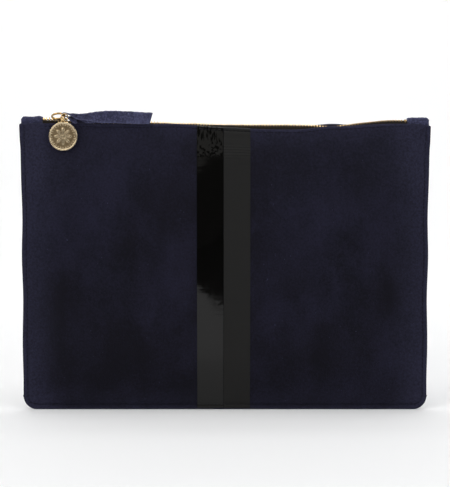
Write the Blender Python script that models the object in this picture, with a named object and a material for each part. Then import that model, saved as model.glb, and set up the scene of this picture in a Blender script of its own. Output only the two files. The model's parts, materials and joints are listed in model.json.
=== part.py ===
"""Flat zippered suede pouch: two leaves sewn round three sides, a brass zip in the mouth and a pull.

Metres, +Z up. +X runs along the zip away from its closed end, -Y is the front, and the origin is the
middle of the bottom seam. At rest the zip is closed and the pouch stands on its bottom edge.
"""

import math

import bmesh
import bpy
from mathutils import Vector

# Pouch
HEIGHT = 0.2065  # bottom edge to the top of the folded mouth
MOUTH_HALF = 0.1482
BODY_HALF = 0.1474
FLARE_HEIGHT = 0.055  # the sides widen from BODY_HALF to MOUTH_HALF over this last stretch
CORNER = 0.0095
DEPTH = 0.0073  # seam plane to a leaf's outer face, where the pouch is full
LEATHER = 0.0012
CLOTH = 0.00035
FLEECE = 0.0003
GAP = 0.0003
TURN_IN = 0.012  # how far the mouth's folded edge reaches down inside
SEAM_DEPTH = GAP / 2 + LEATHER
TURN_SEAM_DEPTH = SEAM_DEPTH + GAP + LEATHER  # where the turned-in edge doubles the leaf

# Stripes and stitching
STRIPE_WIDTH = 0.0192
STRIPE_JOIN = -0.001
STRIPE_LOW = 0.0006
FILM = 0.0002
STITCH_INSET = 0.0031
THREAD = 0.0002  # radius
TOPSTITCH_DROP = 0.0024

# Zip
ZIP_END = 0.1315
ROW_START, ROW_END = -0.1295, 0.1289
PITCH = 0.0021
TOOTH = 0.00075
CHAIN_LOW, CHAIN_HIGH = 0.2059, 0.2075
ROW_OUTER, ROW_INNER, ROW_TIP = 0.0020, 0.0013, -0.0002  # from the seam plane, to a row's own side
ROW_SPREAD = 0.0009  # how far the slider parts each row
SPREAD_FROM, SPREAD_LENGTH = -0.1154, 0.003
TAPE = 0.0005
TAPE_OUTER = DEPTH - 2 * LEATHER - 2 * GAP
TAPE_LOW = 0.190

# Slider and pull
SLIDER_LEFT, SLIDER_RIGHT = -0.1213, -0.1127
SLIDER_LOW, SLIDER_HIGH = 0.2049, 0.2085
PLATE = 0.0007
CROWN = Vector((-0.1161, 0.0, 0.2133))  # where the ring passes under the bridge
BRIDGE_HALF_LENGTH, BRIDGE_HALF_WIDTH, BRIDGE_BAR = 0.0027, 0.0008, 0.0008
BRIDGE_TOP = 0.2152
RING_RADIUS, RING_WIRE = 0.0045, 0.0006
RING_LEAN = Vector((-1.0, 0.0, 0.0))  # from the crown towards the ring's middle
RING_ACROSS = Vector((0.0, -0.883, -0.470))  # in the ring's plane: forwards and down
STRAP_ON_RING, LINK_ON_RING = math.radians(-32), math.radians(55)
LINK_WIRE, LINK_BEND = 0.00045, 0.0013
STRAP_HALF_THICKNESS = 0.0008
STRAP_EYE, STRAP_EYE_HOLE = 0.0026, 0.0018
STRAP_END = -0.0525

# Medallion
MEDALLION = Vector((-0.1160, -0.0093, 0.1984))
MEDALLION_RADIUS, MEDALLION_HALF_THICKNESS = 0.01025, 0.0008
LUG_RISE, LUG_RADIUS, LUG_WIRE = 0.011, 0.0013, 0.00045

# End tabs
TAB_INNER, TAB_OUTER = 0.1318, 0.1472
TAB_TOP, TAB_HALF_THICKNESS = 0.2123, 0.0011
TAB_TONGUE_LOW, TAB_TONGUE_OUTER = 0.197, 0.141

# Where the leaves and the sheets inside them are cut, closer together where they curve
SHARES = (0.0, 0.4, 0.7, 0.76, 0.82, 0.88, 0.92, 0.95, 0.975, 0.99, 1.0)  # of the half width
LEVELS = (0.008, 0.016, 0.026, 0.036, 0.045, 0.12, 0.14, 0.155, 0.172, 0.18, 0.186, 0.192)

FRONT, BACK = -1, 1


def smooth(t):
    t = min(max(t, 0.0), 1.0)
    return t * t * (3 - 2 * t)


# ---------------------------------------------------------------- materials


def finish(name, colour, roughness, metallic=0.0):
    made = bpy.data.materials.new(name)
    made.use_nodes = True
    shader = made.node_tree.nodes["Principled BSDF"]
    shader.inputs["Base Color"].default_value = (*colour, 1.0)
    shader.inputs["Roughness"].default_value = roughness
    shader.inputs["Metallic"].default_value = metallic
    made.diffuse_color = (*colour, 1.0)
    return made


# ---------------------------------------------------------------- mesh helpers


def from_bmesh(name, built, material):
    """A linked object made from a closed bmesh, with its faces turned outwards."""
    bmesh.ops.recalc_face_normals(built, faces=built.faces)
    mesh = bpy.data.meshes.new(name)
    built.to_mesh(mesh)
    built.free()
    mesh.materials.append(material)
    made = bpy.data.objects.new(name, mesh)
    bpy.context.scene.collection.objects.link(made)
    return made


def loft(name, sections, material):
    """A closed solid skinned over loops that all have the same number of points.

    Each four-sided gap is split from its first loop's higher corner, so that the facets of a sheet
    run parallel to those of the leaf that it lies in.
    """
    built = bmesh.new()
    rings = [[built.verts.new(point) for point in section] for section in sections]
    for ring, following in zip(rings, rings[1:]):
        for i in range(len(ring)):
            j = (i + 1) % len(ring)
            high, low = (j, i) if ring[j].co.z > ring[i].co.z else (i, j)
            built.faces.new((ring[high], ring[low], following[low]))
            built.faces.new((ring[high], following[low], following[high]))
    built.faces.new(rings[0])
    built.faces.new(rings[-1])
    return from_bmesh(name, built, material)


def slab(name, outline, low, high, material):
    """An outline in X and Y, raised from low to high."""
    return loft(name, [[(x, y, z) for x, y in outline] for z in (low, high)], material)


def upright(name, outline, front, back, material):
    """An outline in X and Z, running from front to back along Y."""
    return loft(name, [[(x, y, z) for x, z in outline] for y in (front, back)], material)


def block(name, low, high, material):
    outline = [(low[0], low[1]), (high[0], low[1]), (high[0], high[1]), (low[0], high[1])]
    return slab(name, outline, low[2], high[2], material)


def rod(name, points, radius, material, closed=False, roundness=2):
    """Round wire or thread along points, with 4 + 2 * roundness sides."""
    curve = bpy.data.curves.new(name, "CURVE")
    curve.dimensions = "3D"
    curve.bevel_depth = radius
    curve.bevel_resolution = roundness
    curve.use_fill_caps = not closed
    spline = curve.splines.new("POLY")
    spline.points.add(len(points) - 1)
    for at, point in zip(spline.points, points):
        at.co = (*point, 1.0)
    spline.use_cyclic_u = closed
    curve.materials.append(material)
    made = bpy.data.objects.new(name, curve)
    bpy.context.scene.collection.objects.link(made)
    return made


def lathe(name, profile, centre, material, segments=36):
    """A closed profile of (radius, y) turned about the Y axis through centre."""
    built = bmesh.new()
    rings = []
    for radius, y in profile:
        if radius == 0:
            rings.append([built.verts.new((centre.x, y, centre.z))])
            continue
        angles = [2 * math.pi * k / segments for k in range(segments)]
        rings.append(
            [
                built.verts.new((centre.x + radius * math.cos(a), y, centre.z + radius * math.sin(a)))
                for a in angles
            ]
        )
    for ring, following in zip(rings, rings[1:]):
        for k in range(segments):
            corners = [ring[k % len(ring)], ring[(k + 1) % len(ring)]]
            corners += [following[(k + 1) % len(following)], following[k % len(following)]]
            built.faces.new(list(dict.fromkeys(corners)))
    return from_bmesh(name, built, material)


def combine(piece, tool, operation):
    """Joins or cuts with a Boolean, and turns the tool into a hidden guide."""
    step = piece.modifiers.new(tool.name, "BOOLEAN")
    step.operation = operation
    step.object = tool
    step.solver = "EXACT"
    tool.hide_render = True
    tool.display_type = "WIRE"


def set_origin(piece, point):
    """Moves a mesh piece's origin to point and leaves its surface where it is."""
    for vertex in piece.data.vertices:
        vertex.co -= point
    piece.location = point


# ---------------------------------------------------------------- the leaves' shape


def half_width(z):
    flare = smooth((z - (HEIGHT - FLARE_HEIGHT)) / FLARE_HEIGHT)
    return BODY_HALF + (MOUTH_HALF - BODY_HALF) * flare


def bottom_at(x):
    """The bottom edge's height, which rises round the two lower corners."""
    into_corner = min(max(abs(x) - (BODY_HALF - CORNER), 0.0), CORNER)
    return CORNER - math.sqrt(CORNER**2 - into_corner**2)


def depth_at(share, z):
    """Seam plane to the leaf's outer face, at a share of the half width and a height."""
    doubled = smooth((z - (HEIGHT - TURN_IN - 0.010)) / 0.010)
    edge = SEAM_DEPTH + (TURN_SEAM_DEPTH - SEAM_DEPTH) * doubled
    side_band = 0.30 - 0.20 * smooth((z - 0.12) / 0.07)
    fullness = smooth((1 - abs(share)) / side_band) * smooth(z / 0.045)
    return edge + (DEPTH - edge) * fullness


def stations(reach=1.0):
    """Shares of the half width from -reach to reach."""
    right = [share for share in SHARES if share < reach - 0.001] + [reach]
    return [-share for share in reversed(right[1:])] + right


def levels_between(low, high):
    return [low] + [z for z in LEVELS if low + 0.001 < z < high - 0.001] + [high]


def at_depth(side, share, z, inset):
    return (share * half_width(z), side * (depth_at(share, z) - inset), z)


def leaf_section(side, share):
    """One cross-section of a leaf: up the outside, over the fold, and down the turned-in edge."""
    low = bottom_at(share * BODY_HALF)
    fold_outer = LEATHER + GAP / 2
    fold_middle = HEIGHT - fold_outer
    levels = [low + (fold_middle - low) * z / fold_middle for z in (0.0, *LEVELS)]
    outside = [at_depth(side, share, z, 0.0) for z in levels]
    inside = [at_depth(side, share, z, LEATHER) for z in reversed(levels)]

    def round_fold(radius, steps):
        loop = []
        for step in range(steps + 1):
            turn = math.pi * step / steps
            z = fold_middle + radius * math.sin(turn)
            loop.append(at_depth(side, share, z, fold_outer - radius * math.cos(turn)))
        return loop

    turned_low = HEIGHT - TURN_IN
    turned = [
        at_depth(side, share, turned_low, 2 * LEATHER + GAP),
        at_depth(side, share, turned_low, LEATHER + GAP),
    ]
    return outside + round_fold(fold_outer, 4) + turned + round_fold(GAP / 2, 2)[::-1] + inside


def leaf(name, side, material):
    return loft(name, [leaf_section(side, share) for share in stations()], material)


def sheet(name, side, reach, low, high, inset, thickness, material):
    """A thin sheet inside a leaf, at inset(z) below the leaf's outer face."""
    levels = levels_between(low, high)
    sections = []
    for share in stations(reach):
        near = [at_depth(side, share, z, inset(z)) for z in levels]
        far = [at_depth(side, share, z, inset(z) + thickness) for z in reversed(levels)]
        sections.append(near + far)
    return loft(name, sections, material)


def stiffener_inset(z):
    return LEATHER + GAP


def lining_inset(z):
    """The lining hangs behind the stiffener, and higher up behind the turned edge and the tape."""
    behind_stiffener = LEATHER + GAP + FLEECE + GAP
    behind_tape = 2 * LEATHER + TAPE + 3 * GAP
    return behind_stiffener + (behind_tape - behind_stiffener) * smooth((z - 0.176) / 0.010)


def stripe(name, left, right, material):
    """A film strip down the front leaf, from over the fold to the bottom edge."""
    fold_outer = LEATHER + GAP / 2
    fold_middle = HEIGHT - fold_outer
    clear = GAP - FILM / 2
    sections = []
    for x in (left, right):
        loops = []
        for rise in (clear, clear + FILM):
            levels = levels_between(STRIPE_LOW, fold_middle)
            loop = [(x, -(depth_at(0, z) + rise), z) for z in levels[:-1]]
            for step in range(5):
                turn = math.pi * 0.5 * step / 4
                out = (fold_outer + rise) * math.cos(turn)
                up = (fold_outer + rise) * math.sin(turn)
                loop.append((x, -(DEPTH - fold_outer + out), fold_middle + up))
            loops.append(loop)
        sections.append(loops[1] + loops[0][::-1])
    return loft(name, sections, material)


# ---------------------------------------------------------------- stitching


def over_film(x):
    low, high = STRIPE_JOIN - STRIPE_WIDTH, STRIPE_JOIN + STRIPE_WIDTH
    return low - 0.001 < x < high + 0.001


def thread_point(side, x, z):
    """A point of a thread that lies on a leaf, and over the stripes on the front one."""
    share = min(abs(x) / half_width(z), 1.0)
    rise = THREAD + GAP
    if side == FRONT and over_film(x):
        rise += FILM
    return (x, side * (depth_at(share, z) + rise), z)


def crossing_points():
    """Places along X where a thread must bend to climb over the stripes."""
    low, high = STRIPE_JOIN - STRIPE_WIDTH, STRIPE_JOIN + STRIPE_WIDTH
    return [low - 0.0025, low - 0.0009, high + 0.0009, high + 0.0025]


def seam_thread(name, side, material):
    """The thread of the seam round the sides and the bottom."""
    top = HEIGHT - TURN_IN / 2
    bend = CORNER - STITCH_INSET
    side_levels = levels_between(CORNER, top)[::-1]
    path = [(-(half_width(z) - STITCH_INSET), z) for z in side_levels]
    for step in range(1, 5):
        turn = math.pi / 2 * step / 4
        path.append((-(BODY_HALF - CORNER + bend * math.cos(turn)), CORNER - bend * math.sin(turn)))
    bottom = [-0.105, -0.07, -0.04] + crossing_points() + [0.04, 0.07, 0.105]
    right = [(-x, z) for x, z in reversed(path)]
    path += [(x, STITCH_INSET) for x in bottom] + right
    return rod(name, [thread_point(side, x, z) for x, z in path], THREAD, material, roundness=0)


def mouth_thread(name, side, material):
    """The topstitch that holds the folded edge and the tape together."""
    ends = [-ZIP_END] + crossing_points() + [ZIP_END]
    z = HEIGHT - TOPSTITCH_DROP
    return rod(name, [thread_point(side, x, z) for x in ends], THREAD, material, roundness=0)


# ---------------------------------------------------------------- zip


def spread(x):
    return ROW_SPREAD * smooth((SPREAD_FROM - x) / SPREAD_LENGTH)


def spread_points():
    return [SPREAD_FROM - SPREAD_LENGTH * step / 4 for step in range(5)]


def teeth_row(name, side, offset, material):
    """A row of teeth on its cord. The two rows mesh, and part to the left of the slider."""
    outline = [(x, ROW_OUTER + spread(x)) for x in [ROW_END] + spread_points() + [ROW_START]]
    outline.append((ROW_START, ROW_INNER + spread(ROW_START)))
    count = int((ROW_END - ROW_START - offset) / PITCH)
    for k in range(count):
        middle = ROW_START + offset + PITCH * (k + 0.4)
        left, right = middle - TOOTH / 2, middle + TOOTH / 2
        parted = spread(middle)
        outline.append((left, ROW_INNER + parted))
        outline.append((left, ROW_TIP + parted))
        outline.append((right, ROW_TIP + parted))
        outline.append((right, ROW_INNER + parted))
    outline.append((ROW_END, ROW_INNER))
    return slab(name, [(x, side * y) for x, y in outline], CHAIN_LOW, CHAIN_HIGH, material)


def tape(name, side, material):
    """Zip tape: sewn behind the folded edge, then flat under the slider's flanges to the cord."""
    middle = (CHAIN_LOW + CHAIN_HIGH) / 2
    high, low = middle + TAPE / 2, middle - TAPE / 2
    sections = []
    for x in [-ZIP_END] + spread_points()[::-1] + [ZIP_END]:
        inner = ROW_OUTER + GAP + spread(x)
        profile = [(TAPE_OUTER, TAPE_LOW), (TAPE_OUTER, high), (inner, high), (inner, low)]
        profile += [(TAPE_OUTER - TAPE, low), (TAPE_OUTER - TAPE, TAPE_LOW)]
        sections.append([(x, side * y, z) for y, z in profile])
    return loft(name, sections, material)


def top_stop(name, side, material):
    near, far = sorted((side * (ROW_INNER + ROW_SPREAD - GAP), side * (ROW_OUTER + ROW_SPREAD)))
    low = (-ZIP_END + 0.0002, near, CHAIN_LOW - 0.0001)
    high = (ROW_START - GAP, far, CHAIN_HIGH + 0.0001)
    return block(name, low, high, material)


def bottom_stop(name, material):
    low = (ROW_END + GAP, -ROW_OUTER, CHAIN_LOW - 0.0001)
    high = (ROW_END + 0.0018, ROW_OUTER, CHAIN_HIGH + 0.0001)
    return block(name, low, high, material)


def end_tab(name, end, material):
    """A folded suede tab over one end of the zip, with a tongue sewn down into the mouth."""
    corner = 0.0022
    low = HEIGHT + 0.0006
    outline = [(TAB_INNER, TAB_TONGUE_LOW), (TAB_INNER, TAB_TOP)]
    for step in range(5):
        turn = math.pi / 2 * (1 - step / 4)
        x = TAB_OUTER - corner + corner * math.cos(turn)
        outline.append((x, TAB_TOP - corner + corner * math.sin(turn)))
    outline += [(TAB_OUTER, low), (TAB_TONGUE_OUTER, low), (TAB_TONGUE_OUTER, TAB_TONGUE_LOW)]
    outline = [(end * x, z) for x, z in outline]
    return upright(name, outline, -TAB_HALF_THICKNESS, TAB_HALF_THICKNESS, material)


# ---------------------------------------------------------------- slider


def slider_body(name, material):
    """Two plates joined by the wedge that parts the rows, with flanges that leave slots for the tape."""
    wide, narrow = 0.0036, 0.0029
    half = [(SLIDER_RIGHT, 0.0019), (SLIDER_RIGHT - 0.0008, narrow), (-0.1162, narrow + 0.0002)]
    half += [(-0.1183, wide), (SLIDER_LEFT + 0.0007, wide), (SLIDER_LEFT, wide - 0.0008)]
    outline = half + [(x, -y) for x, y in reversed(half)]
    body = slab(name, outline, SLIDER_LOW, SLIDER_HIGH, material)
    wedge_point, wedge_half, beyond, over = -0.1184, 0.0004, 0.001, 0.00005
    for side, word in ((FRONT, "front"), (BACK, "back")):
        run = [
            (SLIDER_RIGHT + beyond, -over),
            (wedge_point, -over),
            (wedge_point - 0.0004, wedge_half),
            (SLIDER_LEFT - beyond, wedge_half),
            (SLIDER_LEFT - beyond, 0.0032),
            (wedge_point, 0.0032),
            (SPREAD_FROM, 0.0023),
            (SLIDER_RIGHT + beyond, 0.0023),
        ]
        run = [(x, side * y) for x, y in run]
        channel = slab(f"{word}_channel", run, SLIDER_LOW + PLATE, SLIDER_HIGH - PLATE, material)
        combine(body, channel, "DIFFERENCE")
        near, far = sorted((side * 0.0020, side * 0.0050))
        low = (SLIDER_LEFT - beyond, near, SLIDER_LOW + 0.00125)
        high = (SLIDER_RIGHT + beyond, far, SLIDER_HIGH - 0.0013)
        combine(body, block(f"{word}_slot", low, high, material), "DIFFERENCE")
    return body


def bridge(name, material):
    """The arch on the slider that the pull ring passes under."""
    out, bar, top = BRIDGE_HALF_LENGTH, BRIDGE_BAR, BRIDGE_TOP
    foot = SLIDER_HIGH + GAP / 2
    outer = [(-out, foot), (-out, top - 0.001), (-out + 0.0008, top)]
    outer += [(out - 0.0008, top), (out, top - 0.001), (out, foot)]
    inner = [(out - bar, foot), (out - bar, top - 0.0013), (out - bar - 0.0005, top - bar)]
    inner += [(-x, z) for x, z in reversed(inner)]
    outline = [(CROWN.x + x, z) for x, z in outer + inner]
    return upright(name, outline, -BRIDGE_HALF_WIDTH, BRIDGE_HALF_WIDTH, material)


def lock_spring(name, material):
    reach = BRIDGE_HALF_LENGTH - BRIDGE_BAR - GAP
    low = (CROWN.x - reach, -0.0005, SLIDER_HIGH + GAP / 2)
    high = (CROWN.x + reach, 0.0005, SLIDER_HIGH + GAP / 2 + 0.0003)
    return block(name, low, high, material)


# ---------------------------------------------------------------- ring, link, strap and medallion


def ring_centre():
    return CROWN + RING_LEAN.normalized() * RING_RADIUS


def ring_point(turn):
    """A point of the ring's wire. A turn of 0 is at the crown, and a quarter turn is at the front."""
    to_crown = -RING_LEAN.normalized()
    across = RING_ACROSS - to_crown * RING_ACROSS.dot(to_crown)
    around = to_crown * math.cos(turn) + across.normalized() * math.sin(turn)
    return ring_centre() + around * RING_RADIUS


def pull_ring(name, material):
    points = [ring_point(2 * math.pi * k / 24) - CROWN for k in range(24)]
    made = rod(name, points, RING_WIRE, material, closed=True)
    made.location = CROWN
    return made


def lug_centre():
    return MEDALLION + Vector((0, 0, LUG_RISE))


def link(name, material):
    """An oval link round the ring's wire and through the medallion's lug."""
    start = ring_point(LINK_ON_RING)
    end = lug_centre() + Vector((0, 0, LUG_RADIUS + 0.0001))
    along = (end - start).normalized()
    sideways = along.cross(Vector((0, 0, 1))).normalized()
    up = sideways.cross(along)
    points = []
    for centre, first in ((end, math.pi / 2), (start, 3 * math.pi / 2)):
        for step in range(9):
            turn = first - math.pi * step / 8
            points.append(centre + (along * math.cos(turn) + up * math.sin(turn)) * LINK_BEND)
    return rod(name, points, LINK_WIRE, material, closed=True)


def pull_strap(name, material):
    """A folded suede strip on the ring, seen here from the front, with a slanted free end."""
    eye = ring_point(STRAP_ON_RING)
    outline = []
    for step in range(9):
        turn = math.pi / 2 + math.pi * step / 8
        outline.append((eye.x + STRAP_EYE * math.cos(turn), eye.z + STRAP_EYE * math.sin(turn)))
    rest = CHAIN_HIGH + GAP + 0.0001
    outline += [(SLIDER_RIGHT + 0.0003, eye.z - STRAP_EYE), (SLIDER_RIGHT + 0.0016, rest)]
    outline += [(STRAP_END - 0.002, rest), (STRAP_END, rest + 0.0074)]
    outline += [(-0.068, rest + 0.0071), (-0.080, rest + 0.0074), (-0.092, rest + 0.0066)]
    outline += [(-0.103, rest + 0.0062), (-0.109, rest + 0.0066)]
    front, back = eye.y - STRAP_HALF_THICKNESS, eye.y + STRAP_HALF_THICKNESS
    strap = upright(name, outline, front, back, material)
    hole_turns = [2 * math.pi * k / 16 for k in range(16)]
    hole = [(eye.x + STRAP_EYE_HOLE * math.cos(a), eye.z + STRAP_EYE_HOLE * math.sin(a)) for a in hole_turns]
    cutter = upright("strap_eye_cutter", hole, front - 0.001, back + 0.001, material)
    set_origin(strap, eye)
    combine(strap, cutter, "DIFFERENCE")
    return strap


def strap_stitch(name, material):
    """The bar of thread that closes the strap's fold beside the ring."""
    eye = ring_point(STRAP_ON_RING)
    y = eye.y - STRAP_HALF_THICKNESS - GAP / 2 - THREAD
    x = SLIDER_RIGHT + 0.004
    return rod(name, [(x, y, eye.z - 0.0015), (x, y, eye.z + 0.0015)], THREAD, material, roundness=0)


def medallion(name, material):
    """A coin with a raised rim and a lug on top."""
    back = MEDALLION.y + MEDALLION_HALF_THICKNESS
    front = MEDALLION.y - MEDALLION_HALF_THICKNESS
    edge, rim, sunk = 0.0003, 0.0013, 0.0004
    outer = MEDALLION_RADIUS
    profile = [(0, back), (outer - edge, back), (outer, back - edge), (outer, front + edge)]
    profile += [(outer - edge, front), (outer - rim, front), (outer - rim - edge, front + sunk)]
    profile += [(0, front + sunk)]
    coin = lathe(name, profile, MEDALLION, material)
    centre = lug_centre()
    turns = [2 * math.pi * k / 16 for k in range(16)]
    points = [centre + Vector((math.cos(a), 0, math.sin(a))) * LUG_RADIUS for a in turns]
    wire = rod("lug_wire", points, LUG_WIRE, material, closed=True)
    lug = wire_to_mesh(wire, "lug", material)
    set_origin(coin, centre)
    combine(coin, lug, "UNION")
    return coin


def wire_to_mesh(wire, name, material):
    """Replaces a curve object with a mesh of the same surface, for use in a Boolean."""
    bpy.context.view_layer.update()
    evaluated = wire.evaluated_get(bpy.context.evaluated_depsgraph_get())
    mesh = bpy.data.meshes.new_from_object(evaluated)
    bpy.data.objects.remove(wire)
    mesh.name = name
    made = bpy.data.objects.new(name, mesh)
    bpy.context.scene.collection.objects.link(made)
    return made


# ---------------------------------------------------------------- the pouch


def build():
    suede = finish("navy_suede", (0.012, 0.012, 0.022), 0.95)
    tab_suede = finish("navy_suede_tab", (0.020, 0.020, 0.045), 0.95)
    gloss = finish("gloss_film", (0.004, 0.004, 0.004), 0.12)
    matte = finish("matte_film", (0.017, 0.016, 0.016), 0.6)
    fleece = finish("grey_fleece", (0.35, 0.35, 0.36), 1.0)
    cloth = finish("black_twill", (0.010, 0.010, 0.014), 0.85)
    webbing = finish("zip_tape", (0.012, 0.012, 0.018), 0.9)
    thread = finish("dark_thread", (0.010, 0.010, 0.014), 0.7)
    gold = finish("pale_gold", (0.70, 0.58, 0.36), 0.3, 1.0)
    antique = finish("antique_brass", (0.27, 0.20, 0.11), 0.45, 1.0)
    steel = finish("spring_steel", (0.55, 0.55, 0.56), 0.35, 1.0)

    leaf("front_panel", FRONT, suede)
    leaf("back_panel", BACK, suede)
    stripe("gloss_stripe", STRIPE_JOIN - STRIPE_WIDTH, STRIPE_JOIN - GAP / 2, gloss)
    stripe("matte_stripe", STRIPE_JOIN + GAP / 2, STRIPE_JOIN + STRIPE_WIDTH, matte)
    for side, word in ((FRONT, "front"), (BACK, "back")):
        sheet(f"{word}_stiffener", side, 0.82, 0.036, 0.172, stiffener_inset, FLEECE, fleece)
        sheet(f"{word}_lining", side, 0.84, 0.026, 0.2035, lining_inset, CLOTH, cloth)
        tape(f"{word}_zip_tape", side, webbing)
        teeth_row(f"{word}_teeth", side, 0.0 if side == FRONT else PITCH / 2, gold)
        top_stop(f"{word}_top_stop", side, gold)
        seam_thread(f"{word}_seam_thread", side, thread)
        mouth_thread(f"{word}_mouth_thread", side, thread)
    bottom_stop("bottom_stop", gold)
    end_tab("left_zip_tab", -1, tab_suede)
    end_tab("right_zip_tab", 1, tab_suede)

    slider_body("slider_body", gold)
    bridge("slider_bridge", gold)
    lock_spring("slider_lock_spring", steel)
    pull_ring("pull_ring", gold)
    link("medallion_link", gold)
    medallion("medallion", antique)
    pull_strap("pull_strap", suede)
    strap_stitch("strap_stitch", thread)


for leftover in list(bpy.data.objects):
    bpy.data.objects.remove(leftover)
build()
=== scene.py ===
"""Looks of the zippered suede pouch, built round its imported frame.

Metres, +Z up. +X runs along the zip, -Y is the front, and the origin is the middle of the bottom seam.
"""

import json
import math
import random

import bmesh
import bpy
import numpy as np
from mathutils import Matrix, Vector

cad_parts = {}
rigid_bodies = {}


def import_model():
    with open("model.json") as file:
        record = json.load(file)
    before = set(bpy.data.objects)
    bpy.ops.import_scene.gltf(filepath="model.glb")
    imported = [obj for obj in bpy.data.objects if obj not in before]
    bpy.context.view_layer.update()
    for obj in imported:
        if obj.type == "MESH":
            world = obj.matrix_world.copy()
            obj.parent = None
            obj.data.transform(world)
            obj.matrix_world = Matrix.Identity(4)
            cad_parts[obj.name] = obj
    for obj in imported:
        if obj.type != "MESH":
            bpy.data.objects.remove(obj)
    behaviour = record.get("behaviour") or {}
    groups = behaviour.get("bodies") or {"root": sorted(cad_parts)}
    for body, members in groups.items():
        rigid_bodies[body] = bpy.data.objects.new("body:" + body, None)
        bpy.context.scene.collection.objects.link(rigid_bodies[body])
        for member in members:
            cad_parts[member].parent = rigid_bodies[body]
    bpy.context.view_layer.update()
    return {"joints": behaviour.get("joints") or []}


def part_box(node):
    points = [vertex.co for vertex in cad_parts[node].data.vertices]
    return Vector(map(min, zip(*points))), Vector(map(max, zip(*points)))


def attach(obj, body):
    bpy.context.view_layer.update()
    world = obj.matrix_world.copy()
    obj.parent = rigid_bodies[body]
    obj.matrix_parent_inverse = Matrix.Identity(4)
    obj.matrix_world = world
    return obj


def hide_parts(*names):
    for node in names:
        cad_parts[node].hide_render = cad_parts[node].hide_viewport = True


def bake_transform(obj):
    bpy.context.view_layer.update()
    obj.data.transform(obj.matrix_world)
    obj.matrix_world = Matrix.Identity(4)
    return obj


for leftover in list(bpy.data.objects):
    bpy.data.objects.remove(leftover)
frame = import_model()

FRONT, BACK = -1, 1

# Sizes that come from the frame
PANEL_LOW, PANEL_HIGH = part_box("front_panel")
HEIGHT = PANEL_HIGH.z
MOUTH_HALF = PANEL_HIGH.x
DEPTH = -PANEL_LOW.y  # seam plane to the leaf's outer face
TEETH_LOW, TEETH_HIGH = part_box("front_teeth")
ROW_START, ROW_END = TEETH_LOW.x, TEETH_HIGH.x
TAPE_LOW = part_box("front_zip_tape")[0].z
ZIP_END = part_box("front_zip_tape")[1].x
SLIDER_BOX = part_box("slider_body")
BRIDGE_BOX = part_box("slider_bridge")
MEDALLION_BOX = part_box("medallion")
STRAP_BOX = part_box("pull_strap")
TAB_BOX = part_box("right_zip_tab")
GLOSS_BOX, MATTE_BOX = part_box("gloss_stripe"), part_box("matte_stripe")
JOINTS = {joint["name"]: joint for joint in frame["joints"]}

# The leaves
LEATHER = 0.0012
GAP = 0.0003  # between layers that lie on each other
FOLD_OUTER = LEATHER + GAP / 2  # radius of the mouth's fold, on its outside
FLARE, FLARE_HEIGHT = 0.0008, 0.055  # the sides widen towards the mouth
BODY_HALF = MOUTH_HALF - FLARE
CORNER = 0.0095
TURN_IN = 0.012  # the mouth's edge is folded in this far
SEAM_DEPTH = FOLD_OUTER  # seam plane to the outer face at the side seams
TURN_SEAM_DEPTH = SEAM_DEPTH + 0.6 * GAP + LEATHER  # the same where the edge is folded in
BULGE = 0.0011  # more depth in the middle of a leaf
LEAN, LEAN_HEIGHT = 0.0017, 0.0205  # the mouth's edge leans in towards the zip

# The stitching: how far in from the edge it lies, and the depth and half width of its groove
STITCH_INSET, GROOVE, GROOVE_HALF = 0.0031, 0.00060, 0.0008
TOPSTITCH_DROP, TOP_GROOVE, TOP_GROOVE_HALF = 0.0024, 0.00045, 0.0008
TOPSTITCH_HALF = ZIP_END - 0.001
STITCH_PITCH = 0.0027
THREAD = 0.00024  # the thread's radius

# The zip
PITCH = 0.0021
TOOTH_HALF = 0.00045
CHAIN_HALF_HEIGHT = 0.0008
ROW_OUTER, ROW_TIP = 0.0021, -0.0004  # a tooth's root and tip, out from the zip's middle
ROW_SPREAD, SPREAD_FROM, SPREAD_LENGTH = 0.0009, -0.1154, 0.003  # the rows part left of the slider
TIP_TURN = math.radians(58)  # where the rows are open, the front one turns its tips up
TAPE = 0.0005
SLIDER_LIFT = 0.0032  # the cloth lifts the slider this far above its place in the frame
LEFT_TAB_RISE = 0.0009  # and the left tab this far

FILM = 0.0002
FILM_OFF = 0.00005  # air between the leaf and its film
CLOTH = 0.0004

# The pull: a ring, a link, a coin and a strap
RING_RADIUS, RING_WIRE = 0.0045, 0.00078
RING_LEAN = np.array([-1.0, 0.0, 0.0])
RING_ACROSS = np.array([0.0, -0.883, -0.470])
LINK_TURN = math.radians(55)
LINK_RADIUS, LINK_WIRE = 0.0013, 0.00045


# ---------------------------------------------------------------- numbers and noise


def smooth(t):
    t = np.clip(t, 0.0, 1.0)
    return t * t * (3 - 2 * t)


def mound(x, centre, reach):
    """1 at centre, falling off to both sides."""
    return np.exp(-(((x - centre) / reach) ** 2))


def ease(value, start, length):
    """From 0 to 1 as a single value goes from start to start + length."""
    return float(smooth((value - start) / length))


def half_turn(steps, first=0):
    """Angles from 0 to a half turn, in equal steps. With first=1, both ends are left out."""
    return [math.pi * step / steps for step in range(first, steps + 1 - first)]


def waves(x, z, length, seed, count=14):
    """Seeded unevenness, mostly between -1 and 1, with swells about length across."""
    draw = random.Random(seed)
    total = 0.0
    for _ in range(count):
        turn, phase = draw.uniform(0, 2 * math.pi), draw.uniform(0, 2 * math.pi)
        rate = 2 * math.pi / (length * draw.uniform(0.7, 1.6))
        total = total + np.sin((x * math.cos(turn) + z * math.sin(turn)) * rate + phase)
    return total / math.sqrt(count)


# ---------------------------------------------------------------- mesh helpers


def linked(name, data):
    made = bpy.data.objects.new(name, data)
    bpy.context.scene.collection.objects.link(made)
    return made


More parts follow.
